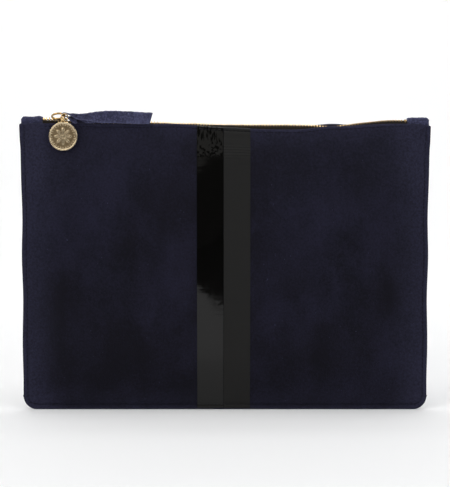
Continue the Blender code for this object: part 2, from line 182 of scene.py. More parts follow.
def shaded(built, name, mesh, material, smooth_angle):
    """A linked object from a bmesh, with outward faces and edges that are sharp past smooth_angle."""
    bmesh.ops.recalc_face_normals(built, faces=built.faces)
    built.to_mesh(mesh)
    built.free()
    mesh.shade_smooth()
    mesh.set_sharp_from_angle(angle=smooth_angle)
    mesh.materials.append(material)
    return linked(name, mesh)


def add_mesh(name, points, faces, material, smooth_angle=math.radians(50)):
    mesh = bpy.data.meshes.new(name)
    mesh.from_pydata([tuple(map(float, p)) for p in points], [], faces)
    built = bmesh.new()
    built.from_mesh(mesh)
    return shaded(built, name, mesh, material, smooth_angle)


def grid_faces(rows, columns):
    """Faces over a grid of points that are numbered row by row."""
    return [
        (a, a + columns, a + columns + 1, a + 1)
        for i in range(rows - 1)
        for a in range(i * columns, (i + 1) * columns - 1)
    ]


def tube_faces(rings, sides, first=0, closed=False, capped=True):
    """Faces between rings of points, and across the first and the last ring of an open, capped tube."""
    faces = []
    for i in range(rings if closed else rings - 1):
        near, far = first + i * sides, first + (i + 1) % rings * sides
        for k in range(sides):
            n = (k + 1) % sides
            faces.append((near + k, near + n, far + n, far + k))
    if capped and not closed:
        for start in (first, first + (rings - 1) * sides):
            faces.append(tuple(start + k for k in range(sides)))
    return faces


def store_wear_and_highlight(made, values):
    """Keeps a value for each point, which the materials read as wear and, on the suede, as a painted
    highlight along its folds.
    """
    stored = made.data.attributes.new("wear", "FLOAT", "POINT")
    stored.data.foreach_set("value", np.asarray(values, np.float32))


def unit(v):
    return v / np.maximum(np.linalg.norm(v, axis=-1, keepdims=True), 1e-12)


def border(rows, columns):
    """Grid places round a grid's edge, in order."""
    loop = [(0, j) for j in range(columns)] + [(i, columns - 1) for i in range(1, rows)]
    loop += [(rows - 1, j) for j in range(columns - 2, -1, -1)]
    return loop + [(i, 0) for i in range(rows - 2, 0, -1)]


def thick_sheet(name, grid, thickness, material, round_ends=(True, True), wear=None):
    """A closed sheet of even thickness about a grid of middle points, with rounded cut edges.

    round_ends says whether the first and last rows' edges are rounded or cut flat. The last argument has one
    value for each grid point: wear, and on the suede also painted highlight.
    """
    rows, columns = grid.shape[:2]
    along, across = np.gradient(grid, axis=0), np.gradient(grid, axis=1)
    lift = unit(np.cross(along, across)) * thickness / 2
    points = list((grid + lift).reshape(-1, 3)) + list((grid - lift).reshape(-1, 3))
    total = rows * columns
    faces = []
    for a, b, c, d in grid_faces(rows, columns):
        faces.append((a, d, c, b))
        faces.append((total + b, total + c, total + d, total + a))
    loop = border(rows, columns)
    rim = []
    for i, j in loop:
        outward = np.zeros(3)
        if i == 0 and round_ends[0]:
            outward += unit(grid[0, j] - grid[1, j])
        if i == rows - 1 and round_ends[1]:
            outward += unit(grid[-1, j] - grid[-2, j])
        if j == 0:
            outward += unit(grid[i, 0] - grid[i, 1])
        if j == columns - 1:
            outward += unit(grid[i, -1] - grid[i, -2])
        rim.append(len(points))
        points.append(grid[i, j] + unit(outward) * thickness / 2 * 0.8)
    for k, (i, j) in enumerate(loop):
        m = (k + 1) % len(loop)
        a, b = i * columns + j, loop[m][0] * columns + loop[m][1]
        faces.append((a, b, rim[m], rim[k]))
        faces.append((rim[k], rim[m], total + b, total + a))
    made = add_mesh(name, points, faces, material)
    if wear is not None:
        flat = wear.reshape(-1)
        store_wear_and_highlight(made, np.concatenate([flat, flat, [wear[i, j] for i, j in loop]]))
    return made


def sweep(name, path, across, half_width, half_thickness, material, closed=False, sides=14, power=1.0):
    """A bar swept along path. across is the direction of its width, and power squares its section."""
    path = np.asarray(path, float)
    if closed:
        tangent = unit(np.roll(path, -1, 0) - np.roll(path, 1, 0))
    else:
        tangent = unit(np.gradient(path, axis=0))
    across = np.broadcast_to(np.asarray(across, float), path.shape)
    side = unit(across - tangent * np.sum(tangent * across, axis=1, keepdims=True))
    lift = np.cross(tangent, side)
    points = []
    for i in range(len(path)):
        for k in range(sides):
            turn = 2 * math.pi * (k + 0.5) / sides
            c, s = math.cos(turn), math.sin(turn)
            c, s = math.copysign(abs(c) ** power, c), math.copysign(abs(s) ** power, s)
            points.append(path[i] + side[i] * half_width * c + lift[i] * half_thickness * s)
    faces = tube_faces(len(path), sides, closed=closed)
    return add_mesh(name, points, faces, material, math.radians(60))


def as_given(a, b, c):
    return (a, b, c)


def solid(name, outline, low, high, material, bevel=0.0, place=as_given):
    """An outline in two directions raised in a third, turned into space by place, with eased edges."""
    built = bmesh.new()
    rings = [[built.verts.new(place(a, b, c)) for a, b in outline] for c in (low, high)]
    built.faces.new(rings[0])
    built.faces.new(rings[1])
    for k in range(len(outline)):
        m = (k + 1) % len(outline)
        built.faces.new((rings[0][k], rings[0][m], rings[1][m], rings[1][k]))
    bmesh.ops.recalc_face_normals(built, faces=built.faces)
    if bevel:
        edges = list(built.edges)
        bmesh.ops.bevel(built, geom=edges, offset=bevel, segments=2, profile=0.6, affect="EDGES")
    return shaded(built, name, bpy.data.meshes.new(name), material, math.radians(40))


def join(name, parts):
    """One object out of several, under the first one's materials."""
    built = bmesh.new()
    for part in parts:
        built.from_mesh(part.data)
    mesh = parts[0].data.copy()
    built.to_mesh(mesh)
    built.free()
    mesh.name = name
    for part in parts:
        bpy.data.objects.remove(part)
    return linked(name, mesh)


# ---------------------------------------------------------------- the leaves' shape


def half_width(z):
    """Half the pouch's width at a height. It widens to the mouth, and its edge isn't quite straight."""
    flare = FLARE * smooth((z - (HEIGHT - FLARE_HEIGHT)) / FLARE_HEIGHT)
    uneven = 0.00025 * waves(z, 0 * z, 0.045, 5)
    return BODY_HALF + flare + uneven * smooth((z - CORNER) / 0.03)


def bottom_at(x):
    """The height of the bottom edge, which rises round the corners."""
    into = np.clip(np.abs(x) - (BODY_HALF - CORNER), 0.0, CORNER)
    return CORNER - np.sqrt(CORNER**2 - into**2)


# (depth, place along X, reach) of the dips in each leaf's mouth
DIPS = {
    FRONT: [(0.0038, 0.032, 0.034), (0.0009, -0.008, 0.018), (0.0011, 0.056, 0.016), (0.0010, 0.086, 0.013)],
    BACK: [(0.0014, 0.030, 0.032), (-0.0014, 0.077, 0.012)],
}
PROUD = {FRONT: 0.0010, BACK: 0.0004}  # how far the mouth's edge stands above its height in the frame
LEFT_RISE = {FRONT: 0.0005, BACK: 0.0}


def mouth_drop(side, x):
    """How far a leaf's folded mouth hangs below its height in the frame, which is less than 0 at its ends."""
    sag = sum(depth * mound(x, place, reach) for depth, place, reach in DIPS[side])
    sag = sag - PROUD[side] - LEFT_RISE[side] * smooth((-0.060 - x) / 0.030)
    corner = smooth((np.abs(x) - 0.139) / 0.010) * np.where(x > 0, 0.0012, 0.0004)
    return sag + corner - 0.0002 * waves(x, 0 * x, 0.05, 3 + side)


def settle(side, x, z):
    """The height of a point of a leaf whose height would be z on a flat, level pouch."""
    hang = mouth_drop(side, x) * smooth((z - 0.09) / (HEIGHT - 0.09))
    return z - hang


FORM = {}


def form_swell(side, x, z):
    """What the simulated cloth adds to a leaf's depth, read between the points of its grid."""
    if "swell" not in FORM:
        return 0.0 * x
    swell = FORM["swell"]
    columns, rows = swell.shape
    x = x if side == FRONT else -x
    across = np.clip((x / MOUTH_HALF + 1) / 2 * (columns - 1), 0, columns - 1.001)
    up = np.clip(z / HEIGHT * (rows - 1), 0, rows - 1.001)
    i, j = across.astype(int), up.astype(int)
    s, t = across - i, up - j
    left = swell[i, j] * (1 - t) + swell[i, j + 1] * t
    right = swell[i + 1, j] * (1 - t) + swell[i + 1, j + 1] * t
    return left * (1 - s) + right * s


def groove_at(x, z):
    """1 on the line of the seam's stitching, falling to 0 beside it."""
    from_side = half_width(z) - np.abs(x)
    inner_x = np.abs(x) - (BODY_HALF - CORNER)
    in_corner = (inner_x > 0) & (z < CORNER)
    from_corner = CORNER - np.sqrt(np.maximum(inner_x, 0) ** 2 + (CORNER - z) ** 2)
    from_edge = np.where(in_corner, from_corner, np.minimum(from_side, z))
    return mound(from_edge, STITCH_INSET, GROOVE_HALF)


def topstitch_groove(z):
    return TOP_GROOVE * mound(z, HEIGHT - TOPSTITCH_DROP, TOP_GROOVE_HALF)


def depth_at(side, x, z):
    """Seam plane to a leaf's outer face."""
    share = np.abs(x) / half_width(z)
    doubled = smooth((z - (HEIGHT - TURN_IN - 0.006)) / 0.006)
    edge = SEAM_DEPTH + (TURN_SEAM_DEPTH - SEAM_DEPTH) * doubled
    side_band = 0.30 - 0.20 * smooth((z - 0.12) / 0.07)
    fullness = smooth((1 - share) / side_band) * smooth(z / 0.045)
    inside = smooth((1 - share) / 0.12) * smooth(z / 0.02)
    round_middle = np.cos(np.clip(share, 0, 1) * math.pi / 2) * np.sin(math.pi * np.clip(z / HEIGHT, 0, 1))
    lean = LEAN * smooth((z - (HEIGHT - LEAN_HEIGHT)) / LEAN_HEIGHT) * smooth((1 - share) / 0.16)
    uneven = 0.00022 * waves(x, z, 0.060, 11 + side) + 0.00007 * waves(x, z, 0.022, 21 + side)
    stiff = 1 - 0.85 * mound(x, (GLOSS_BOX[0].x + MATTE_BOX[1].x) / 2, 0.026) ** 2 * (side == FRONT)
    depth = edge + (DEPTH - edge) * fullness + BULGE * round_middle - lean
    return depth + (uneven + form_swell(side, x, z)) * inside * stiff


def spaced(stops, steps):
    """Values from stop to stop, with that stretch's own step."""
    values = [stops[0]]
    for low, high, step in zip(stops, stops[1:], steps):
        count = max(1, round((high - low) / step))
        values += [low + (high - low) * k / count for k in range(1, count + 1)]
    return np.array(values)


def leaf_columns(low=-1.0, high=1.0):
    """Shares of the half width, closer together at the seams."""
    half = spaced([0.0, 0.93, 0.965, 0.992, 0.9985, 1.0], [0.0145, 0.006, 0.0034, 0.0016, 0.0005])
    both = np.concatenate([-half[:0:-1], half])
    return both[(both >= low - 1e-6) & (both <= high + 1e-6)]


def face_levels():
    return spaced(
        [0.0, 0.0010, 0.0052, 0.012, 0.150, HEIGHT - 0.0055, HEIGHT - FOLD_OUTER],
        [0.0005, 0.0005, 0.0011, 0.0021, 0.0017, 0.0006],
    )


def leaf_path():
    """(height, distance in from the outer face) up the face, over the fold and down the turned edge."""
    middle = HEIGHT - FOLD_OUTER
    radius = FOLD_OUTER - LEATHER / 2
    path = [(z, LEATHER / 2) for z in face_levels()]
    for turn in half_turn(9, first=1):
        path.append((middle + radius * math.sin(turn), FOLD_OUTER - radius * math.cos(turn)))
    turned = spaced([HEIGHT - TURN_IN, middle], [0.0012])[::-1]
    path += [(z, FOLD_OUTER + radius) for z in turned]
    return np.array(path)


def leaf_highlight_and_paling(share, x, z, low):
    """A painted highlight along the fold, lighter along the seams and the bottom edge, and paler towards the
    sides, the mouth and its corners.
    """
    out = np.abs(share)
    wear = mound(z, HEIGHT - 0.0006, 0.0016) * 0.8
    wear = wear + smooth((out - 0.985) / 0.015) * 0.4 + smooth(1 - (z - low) / 0.0022) * 0.5
    wear = wear + 0.80 * smooth((out - 0.78) / 0.22) + 0.32 * smooth((z - (HEIGHT - 0.016)) / 0.014)
    wear = wear + 0.22 * smooth(1 - (z - low) / 0.022) + 0.18 * smooth((z - 0.12) / 0.08)
    wear = wear + 0.35 * mound(np.abs(x), 0.128, 0.022) * mound(z, HEIGHT - 0.024, 0.022)
    return np.clip(wear, 0, 1)


def leaf_grid(side, columns):
    """The leaf's middle points and how much each is lightened, partly as a painted highlight."""
    path = leaf_path()
    z_flat, inset = path[:, 0], path[:, 1]
    middle = HEIGHT - FOLD_OUTER
    share, z = np.meshgrid(columns, z_flat, indexing="ij")
    low = bottom_at(share * BODY_HALF)
    on_face = (inset == inset[0])[None, :]
    z = np.where(on_face, low + (middle - low) * z / middle, z)
    x = share * half_width(z)
    groove = GROOVE * groove_at(x, z) * on_face
    topstitch = topstitch_groove(z) * on_face * smooth((ZIP_END + 0.002 - np.abs(x)) / 0.002)
    y = depth_at(side, x, z) - inset[None, :] - groove - topstitch
    grid = np.stack([x, side * y, settle(side, x, z)], axis=-1)
    return grid, leaf_highlight_and_paling(share, x, z, low)


def on_leaf(side, x, z, rise):
    """A point at a height above a leaf's outer face."""
    x, z = np.asarray(x, float), np.asarray(z, float)
    y = depth_at(side, x, z) + rise
    return np.stack([x, side * y, settle(side, x, z)], axis=-1)


# ---------------------------------------------------------------- cloth


def simulate_form():
    """Swells a sheet that is sewn down at all four sides, and keeps how far each point moved."""
    columns, rows, frames = 76, 54, 20
    slack, cap = 1.012, 0.0016
    xs, zs = np.linspace(-MOUTH_HALF, MOUTH_HALF, columns), np.linspace(0, HEIGHT, rows)
    x, z = np.meshgrid(xs, zs, indexing="ij")
    y = -0.0002 * waves(x, z, 0.03, 41)
    points = np.stack([x, y, z], axis=-1).reshape(-1, 3)
    mesh = bpy.data.meshes.new("form")
    mesh.from_pydata([tuple(p) for p in points], [], grid_faces(columns, rows))
    form = linked("form", mesh)
    held = form.vertex_groups.new(name="sewn")
    held.add([i * rows + j for i, j in border(columns, rows)], 1.0, "REPLACE")
    settings = form.modifiers.new("cloth", "CLOTH").settings
    settings.quality = 6
    settings.mass = 0.25
    settings.tension_stiffness = settings.compression_stiffness = 12
    settings.bending_stiffness = 0.6
    settings.use_pressure = True
    settings.uniform_pressure_force = 4
    settings.shrink_min = 1 - slack
    settings.vertex_group_mass = "sewn"
    settings.effector_weights.gravity = 0
    scene = bpy.context.scene
    scene.frame_start, scene.frame_end = 1, frames
    for at in range(1, frames + 1):
        scene.frame_set(at)
    shaped = form.evaluated_get(bpy.context.evaluated_depsgraph_get())
    moved = np.array([v.co for v in shaped.data.vertices]).reshape(columns, rows, 3)
    scene.frame_set(1)
    bpy.data.objects.remove(form)
    swell = np.median(moved[..., 1]) - moved[..., 1]
    FORM["swell"] = swell * min(1.0, cap / max(1e-9, float(np.abs(swell).max())))


# ---------------------------------------------------------------- materials


def put(tree, kind, inputs=None, **settings):
    """Adds a node. An input given as a socket is linked, and any other is set."""
    made = tree.nodes.new(kind)
    for key, value in settings.items():
        setattr(made, key, value)
    for key, value in (inputs or {}).items():
        wire(tree, made.inputs[key], value)
    return made


def wire(tree, socket, value):
    if isinstance(value, bpy.types.NodeSocket):
        tree.links.new(value, socket)
    elif isinstance(value, bpy.types.Node):
        tree.links.new(value.outputs[0], socket)
    else:
        socket.default_value = value


def new_material(name):
    made = bpy.data.materials.new(name)
    made.use_nodes = True
    tree = made.node_tree
    place = put(tree, "ShaderNodeTexCoord").outputs["Object"]
    return made, tree, tree.nodes["Principled BSDF"], place


def dress(tree, shader, **inputs):
    """Sets the shader's inputs, each named with _ for a space."""
    for name, value in inputs.items():
        wire(tree, shader.inputs[name.replace("_", " ")], value)


def part_of(tree, vector, axis):
    return put(tree, "ShaderNodeSeparateXYZ", {0: vector}).outputs[axis]


def wear_and_highlight_of(tree):
    return put(tree, "ShaderNodeAttribute", attribute_name="wear").outputs["Fac"]


def bands(tree, place, axis, scale, **inputs):
    """Parallel waves across an axis."""
    inputs = {name.replace("_", " "): value for name, value in inputs.items()}
    inputs.update({"Vector": place, "Scale": scale})
    return put(tree, "ShaderNodeTexWave", inputs, bands_direction=axis).outputs["Fac"]


def slanted(tree, place, slant):
    return put(tree, "ShaderNodeMapping", {"Vector": place, "Rotation": (0.0, slant, 0.0)}).outputs[0]


def stretch(tree, place, scale):
    return put(tree, "ShaderNodeMapping", {"Vector": place, "Scale": scale}).outputs[0]


def noise(tree, place, scale, detail=2.0, roughness=0.5):
    inputs = {"Vector": place, "Scale": scale, "Detail": detail, "Roughness": roughness}
    return put(tree, "ShaderNodeTexNoise", inputs).outputs[0]


def maths(tree, operation, a, b=0.0, c=0.0):
    return put(tree, "ShaderNodeMath", {0: a, 1: b, 2: c}, operation=operation).outputs[0]


def remap(tree, value, low, high, to_low=0.0, to_high=1.0):
    inputs = {0: value, 1: low, 2: high, 3: to_low, 4: to_high}
    return put(tree, "ShaderNodeMapRange", inputs, interpolation_type="SMOOTHSTEP").outputs[0]


def mix(tree, share, a, b, blend="MIX"):
    made = put(tree, "ShaderNodeMix", data_type="RGBA", blend_type=blend)
    wire(tree, made.inputs[0], share)
    wire(tree, made.inputs[6], (*a, 1.0) if isinstance(a, tuple) else a)
    wire(tree, made.inputs[7], (*b, 1.0) if isinstance(b, tuple) else b)
    return made.outputs[2]


def bump(tree, height, distance, strength=1.0, under=None):
    inputs = {"Height": height, "Distance": distance, "Strength": strength}
    if under is not None:
        inputs["Normal"] = under
    return put(tree, "ShaderNodeBump", inputs).outputs[0]


def suede(name, dark, light, edge, seed=0.0, grain=1.0):
    """Brushed leather: cloudy where the nap lies differently, with fine fibres and stray lint."""
    made, tree, shader, place = new_material(name)
    place = put(tree, "ShaderNodeMapping", {"Vector": place, "Location": (seed, seed, seed)}).outputs[0]
    clouds = noise(tree, place, 9.0, 5.0, 0.60)
    strokes = noise(tree, stretch(tree, place, (1.0, 1.0, 0.45)), 55.0, 3.0)
    nap = noise(tree, place, 620.0, 4.0, 0.75)
    fibres = noise(tree, stretch(tree, place, (1.0, 1.0, 0.55)), 3200.0, 3.0, 0.65)
    lay = remap(tree, clouds, 0.36, 0.66, 0.0, 0.62)
    for layer, amount in ((strokes, 0.28), (nap, 0.52 * grain), (fibres, 0.42 * grain)):
        lay = maths(tree, "ADD", lay, remap(tree, layer, 0.3, 0.7, -amount / 2, amount / 2))
    colour = mix(tree, maths(tree, "MAXIMUM", lay, 0.0), dark, light)
    lint = remap(tree, noise(tree, stretch(tree, place, (1.0, 1.0, 0.6)), 760.0, 1.0), 0.785, 0.82)
    colour = mix(tree, maths(tree, "MULTIPLY", lint, 0.55), colour, tuple(3.0 * c for c in edge))
    # The stored value lightens the colour towards the edge colour: partly wear, and along the folds a painted
    # highlight.
    wear = maths(tree, "MULTIPLY", wear_and_highlight_of(tree), remap(tree, nap, 0.3, 0.7, 0.35, 1.0))
    broad = bump(tree, nap, 0.00055, 0.9)
    dress(
        tree,
        shader,
        Base_Color=mix(tree, wear, colour, edge),
        Roughness=remap(tree, fibres, 0.2, 0.8, 0.86, 1.0),
        Specular_IOR_Level=0.10,
        Sheen_Weight=0.05,
        Sheen_Roughness=0.45,
        Sheen_Tint=(0.45, 0.5, 0.9, 1.0),
        Normal=bump(tree, fibres, 0.00022, 0.9, broad),
    )
    return made


def gloss_film(name):
    """Patent film with fine creases, and runs under the mouth's stitching. The runs and the blots below them
    get a lower specular level: painted shade.
    """
    made, tree, shader, place = new_material(name)
    creases = noise(tree, stretch(tree, place, (0.35, 1.0, 2.2)), 160.0, 4.0, 0.6)
    runs = noise(tree, stretch(tree, place, (1.0, 1.0, 0.18)), 760.0, 2.0)
    blots = noise(tree, place, 620.0, 2.0)
    dimples = noise(tree, place, 210.0, 1.0)
    height = part_of(tree, place, "Z")
    near_mouth = remap(tree, height, HEIGHT - 0.016, HEIGHT - 0.012)
    not_near = remap(tree, near_mouth, 0.0, 1.0, 1.0, 0.0)
    below_runs = maths(tree, "MULTIPLY", remap(tree, height, HEIGHT - 0.026, HEIGHT - 0.020), not_near)
    run_marks = maths(tree, "MULTIPLY", remap(tree, runs, 0.45, 0.64), near_mouth)
    blot_marks = maths(tree, "MULTIPLY", remap(tree, blots, 0.46, 0.62), below_runs)
    marks = maths(tree, "ADD", run_marks, blot_marks)
    patches = remap(tree, noise(tree, place, 34.0, 2.0), 0.45, 0.70)
    first = bump(tree, maths(tree, "MULTIPLY", creases, patches), 0.0009, 0.06)
    second = bump(tree, marks, 0.00030, 0.12, first)
    dress(
        tree,
        shader,
        Base_Color=(0.0022, 0.0021, 0.0019, 1.0),
        Roughness=remap(tree, dimples, 0.2, 0.8, 0.035, 0.075),
        # painted shade: the runs and blots lower the specular level, standing in for the dark reflections of
        # the film's puckers
        Specular_IOR_Level=remap(tree, marks, 0.15, 0.75, 0.32, 0.03),
        Normal=bump(tree, dimples, 0.0010, 0.012, second),
    )
    return made


def matte_film(name):
    """Rubbery film with a very fine grain, shallow creases, and a few small folds under the mouth."""
    made, tree, shader, place = new_material(name)
    grain = noise(tree, place, 2600.0, 2.0)
    creases = noise(tree, stretch(tree, place, (0.25, 1.0, 2.0)), 150.0, 3.0)
    height = part_of(tree, place, "Z")
    # the colour gets lighter towards the top
    height_share = remap(tree, height, 0.0, HEIGHT, 0.0, 1.0)
    colour = mix(tree, height_share, (0.0048, 0.0046, 0.0043), (0.0070, 0.0070, 0.0068))
    colour = mix(tree, remap(tree, grain, 0.3, 0.7, 0.0, 0.35), colour, (0.0135, 0.0135, 0.0130))
    first = bump(tree, creases, 0.0010, 0.25)
    wide = stretch(tree, place, (0.30, 1.0, 1.0))
    folds = bands(tree, wide, "Z", 150.0, Distortion=6.0, Detail=1.0, Detail_Scale=0.6)
    low_end = remap(tree, height, HEIGHT - 0.025, HEIGHT - 0.021)
    high_end = remap(tree, height, HEIGHT - 0.017, HEIGHT - 0.013, 1.0, 0.0)
    near = maths(tree, "MULTIPLY", low_end, high_end)
    second = bump(tree, maths(tree, "MULTIPLY", folds, near), 0.00050, 0.4, first)
    dress(
        tree,
        shader,
        Base_Color=colour,
        Roughness=remap(tree, grain, 0.3, 0.7, 0.50, 0.62),
        Specular_IOR_Level=0.2,
        Normal=bump(tree, grain, 0.00006, 0.5, second),
    )
    return made


def metal(name, colour, worn, roughness):
    """Plated metal, faintly brushed and a little tarnished."""
    made, tree, shader, place = new_material(name)
    tarnish = noise(tree, place, 500.0, 4.0, 0.6)
    brushed = noise(tree, stretch(tree, place, (0.2, 1.0, 1.0)), 9000.0, 2.0)
    dull = remap(tree, tarnish, 0.3, 0.75, roughness, roughness + 0.16)
    dress(
        tree,
        shader,
        Base_Color=mix(tree, remap(tree, tarnish, 0.42, 0.72), colour, worn),
        Metallic=1.0,
        Roughness=maths(tree, "ADD", dull, remap(tree, brushed, 0.3, 0.7, -0.03, 0.05)),
        Normal=bump(tree, brushed, 0.00004, 0.4),
    )
    return made


def coined(name):
    """Struck bronze: dark in its hollows, and rubbed bright on its rim and raised pattern."""
    made, tree, shader, place = new_material(name)
    raised = wear_and_highlight_of(tree)
    patina = noise(tree, place, 420.0, 4.0, 0.65)
    brushed = noise(tree, stretch(tree, place, (0.25, 1.0, 1.0)), 6000.0, 2.0)
    face = mix(tree, remap(tree, patina, 0.35, 0.7), (0.28, 0.208, 0.122), (0.18, 0.130, 0.070))
    dull = remap(tree, raised, 0.0, 1.0, 0.40, 0.24)
    dress(
        tree,
        shader,
        Base_Color=mix(tree, raised, face, (0.66, 0.54, 0.36)),
        Metallic=1.0,
        Roughness=maths(tree, "ADD", dull, remap(tree, patina, 0.3, 0.7, -0.03, 0.08)),
        Normal=bump(tree, brushed, 0.00003, 0.4),
    )
    return made


def woven(name, colour, light, pitch, slant):
    """Cloth whose ribs run at a slant, crossed by finer threads."""
    made, tree, shader, place = new_material(name)
    turned = slanted(tree, place, slant)
    scale = 1 / pitch / 3.2
    ribs = bands(tree, turned, "X", scale, Distortion=0.6, Detail=1.0, Detail_Scale=3.0)
    cross = bands(tree, turned, "Z", scale * 1.7, Distortion=0.4)
    crossed = maths(tree, "ADD", maths(tree, "MULTIPLY", cross, 0.5), 0.5)
    threads = maths(tree, "MULTIPLY", ribs, crossed)
    fuzz = noise(tree, place, 1800.0, 2.0)
    share = maths(tree, "MULTIPLY", threads, remap(tree, fuzz, 0.2, 0.8, 0.5, 1.0))
    dress(
        tree,
        shader,
        Base_Color=mix(tree, share, colour, light),
        Roughness=0.88,
        Specular_IOR_Level=0.2,
        Sheen_Weight=0.08,
        Normal=bump(tree, threads, pitch * 0.3, 0.7),
    )
    return made


def cord(name, colour, light):
    """Twisted sewing thread."""
    made, tree, shader, place = new_material(name)
    plies = bands(tree, slanted(tree, place, 0.7), "X", 1100.0, Distortion=0.5)
    dress(
        tree,
        shader,
        Base_Color=mix(tree, plies, colour, light),
        Roughness=0.85,
        Specular_IOR_Level=0.15,
        Normal=bump(tree, plies, 0.00008, 0.8),
    )
    return made


NAVY = suede("suede_navy", (0.0056, 0.0052, 0.0086), (0.0162, 0.0156, 0.0322), (0.026, 0.026, 0.050))
TAB_DARK, TAB_LIGHT, TAB_EDGE = (0.0290, 0.0300, 0.0600), (0.0760, 0.0780, 0.1480), (0.105, 0.108, 0.19)
TAB_NAVY = suede("suede_tab", TAB_DARK, TAB_LIGHT, TAB_EDGE, seed=0.37, grain=2.8)
GLOSS = gloss_film("film_gloss")
MATTE = matte_film("film_matte")
TWILL = woven("twill_lining", (0.004, 0.004, 0.006), (0.020, 0.020, 0.026), 0.0009, 0.8)
WEBBING = woven("zip_webbing", (0.012, 0.0085, 0.006), (0.046, 0.036, 0.026), 0.0008, 0.0)
THREAD_DARK = cord("thread_dark", (0.0018, 0.0018, 0.0028), (0.0070, 0.0068, 0.0115))
GOLD = metal("gold_pale", (0.82, 0.63, 0.35), (0.52, 0.35, 0.16), 0.12)
# A darker copy of the pale gold for the ring: painted shade standing in for the dark room it reflects.
RING_GOLD_SHADED = metal("gold_deep", (0.50, 0.34, 0.15), (0.20, 0.125, 0.05), 0.12)
BRASS = metal("brass_teeth", (0.72, 0.52, 0.27), (0.36, 0.24, 0.11), 0.17)
BRONZE = coined("bronze_coin")
STEEL = metal("steel_spring", (0.50, 0.50, 0.51), (0.30, 0.30, 0.31), 0.30)


# ---------------------------------------------------------------- putting pieces on bodies


def fixed(piece, body, slot, *nodes):
    """A piece that rides on one body and stands for the named nodes."""
    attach(piece, body)
    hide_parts(*nodes)


def opening(piece, end, slot, *nodes):
    """A half of something on the back leaf, with its place baked into its points. The named nodes are hidden.
    """
    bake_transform(piece)
    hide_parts(*nodes)


HALVES = ((-1, "left"), (1, "right"))


def in_half(end, values):
    return values[values * end >= -1e-9]


def cut_ends(end):
    """Which ends of a half are rounded: not the one in the middle, where the halves meet."""
    return (end < 0, end > 0)


# ---------------------------------------------------------------- panels, stripes and lining


def panels():
    grid, wear = leaf_grid(FRONT, leaf_columns())
    front = thick_sheet("front_panel_suede", grid, LEATHER, NAVY, wear=wear)
    fixed(front, "front_half", "navy_suede", "front_panel", "front_stiffener")
    for end, word in HALVES:
        grid, wear = leaf_grid(BACK, in_half(end, leaf_columns()))
        half = thick_sheet(f"back_panel_{word}", grid, LEATHER, NAVY, cut_ends(end), wear)
        opening(half, end, "navy_suede", "back_panel", "back_stiffener")


def stripe(name, box, material, slot, node):
    """A film strip that follows the front leaf over its fold and just down behind it."""
    middle = HEIGHT - FOLD_OUTER
    radius = FOLD_OUTER + FILM / 2 + FILM_OFF
    path = [(z, -FILM / 2 - FILM_OFF) for z in face_levels() if z > 0.0004]
    for turn in np.linspace(0, 0.85 * math.pi, 8)[1:]:
        path.append((middle + radius * math.sin(turn), FOLD_OUTER - radius * math.cos(turn)))
    path = np.array(path)
    x, z = np.meshgrid(np.linspace(box[0].x, box[1].x, 19), path[:, 0], indexing="ij")
    on_face = (path[:, 1] == path[0, 1])[None, :]
    press = (0.6 * GROOVE * groove_at(x, z) + topstitch_groove(z)) * on_face
    y = depth_at(FRONT, x, z) - path[None, :, 1] - press
    grid = np.stack([x, -y, settle(FRONT, x, z)], axis=-1)
    fixed(thick_sheet(name, grid, FILM, material), "front_half", slot, node)


def lining(side, columns, name, round_ends=(True, True)):
    """One side of the lining bag, held off the leaf further up where the mouth's edge is turned in."""
    levels = spaced([0.026, HEIGHT - 0.003], [0.004])
    share, z = np.meshgrid(columns, levels, indexing="ij")
    x = share * half_width(z) * 0.84
    behind = 0.0021 + CLOTH / 2 + 0.0017 * smooth((z - 0.176) / 0.010)
    ripple = 0.0004 * waves(x, z, 0.03, 61 + side)
    y = np.maximum(depth_at(side, x, z) - behind - np.abs(ripple), 0.0004 + CLOTH)
    grid = np.stack([x, side * y, settle(side, x, z)], axis=-1)
    return thick_sheet(name, grid, CLOTH, TWILL, round_ends)


def linings():
    columns = spaced([-1.0, 1.0], [0.025])
    fixed(lining(FRONT, columns, "front_lining_twill"), "front_half", "black_twill", "front_lining")
    for end, word in HALVES:
        piece = lining(BACK, in_half(end, columns), f"back_lining_{word}", cut_ends(end))
        opening(piece, end, "black_twill", "back_lining")


# ---------------------------------------------------------------- stitching


def stitches(name, centres, tangents, normals):
    """Short padded stitches, each lying along its tangent and sunk a little at both ends."""
    rings, sides, length = 6, 7, STITCH_PITCH * 0.74
    points, faces = [], []
    for centre, tangent, normal in zip(centres, tangents, normals):
        across = np.cross(tangent, normal)
        faces += tube_faces(rings, sides, first=len(points))
        for r in range(rings):
            t = -1 + 2 * (r + 0.5) / rings
            radius = THREAD * math.sqrt(1 - t**4)
            middle = centre + tangent * t * length / 2 - normal * THREAD * 0.9 * t * t
            for k in range(sides):
                turn = 2 * math.pi * k / sides
                points.append(middle + (across * math.cos(turn) + normal * math.sin(turn)) * radius)
    return add_mesh(name, points, faces, THREAD_DARK)


def seam_line():
    """Places along the seam's stitching, down the left side, along the bottom and up the right."""
    top, inset = HEIGHT - 0.004, STITCH_INSET
    bend = CORNER - inset
    corner_x = BODY_HALF - CORNER
    side_length, quarter = top - CORNER, math.pi / 2 * bend
    total = 2 * (side_length + quarter + corner_x)
    count = int(total / STITCH_PITCH)
    for k in range(count):
        s = (k + 0.5) * total / count
        mirrored = s > total / 2
        t = total - s if mirrored else s
        if t < side_length:
            z = top - t
            x = -(float(half_width(np.array(z))) - inset)
        elif t < side_length + quarter:
            turn = (t - side_length) / bend
            x, z = -(corner_x + bend * math.cos(turn)), CORNER - bend * math.sin(turn)
        else:
            x, z = -corner_x + (t - side_length - quarter), inset
        yield (-x if mirrored else x), z


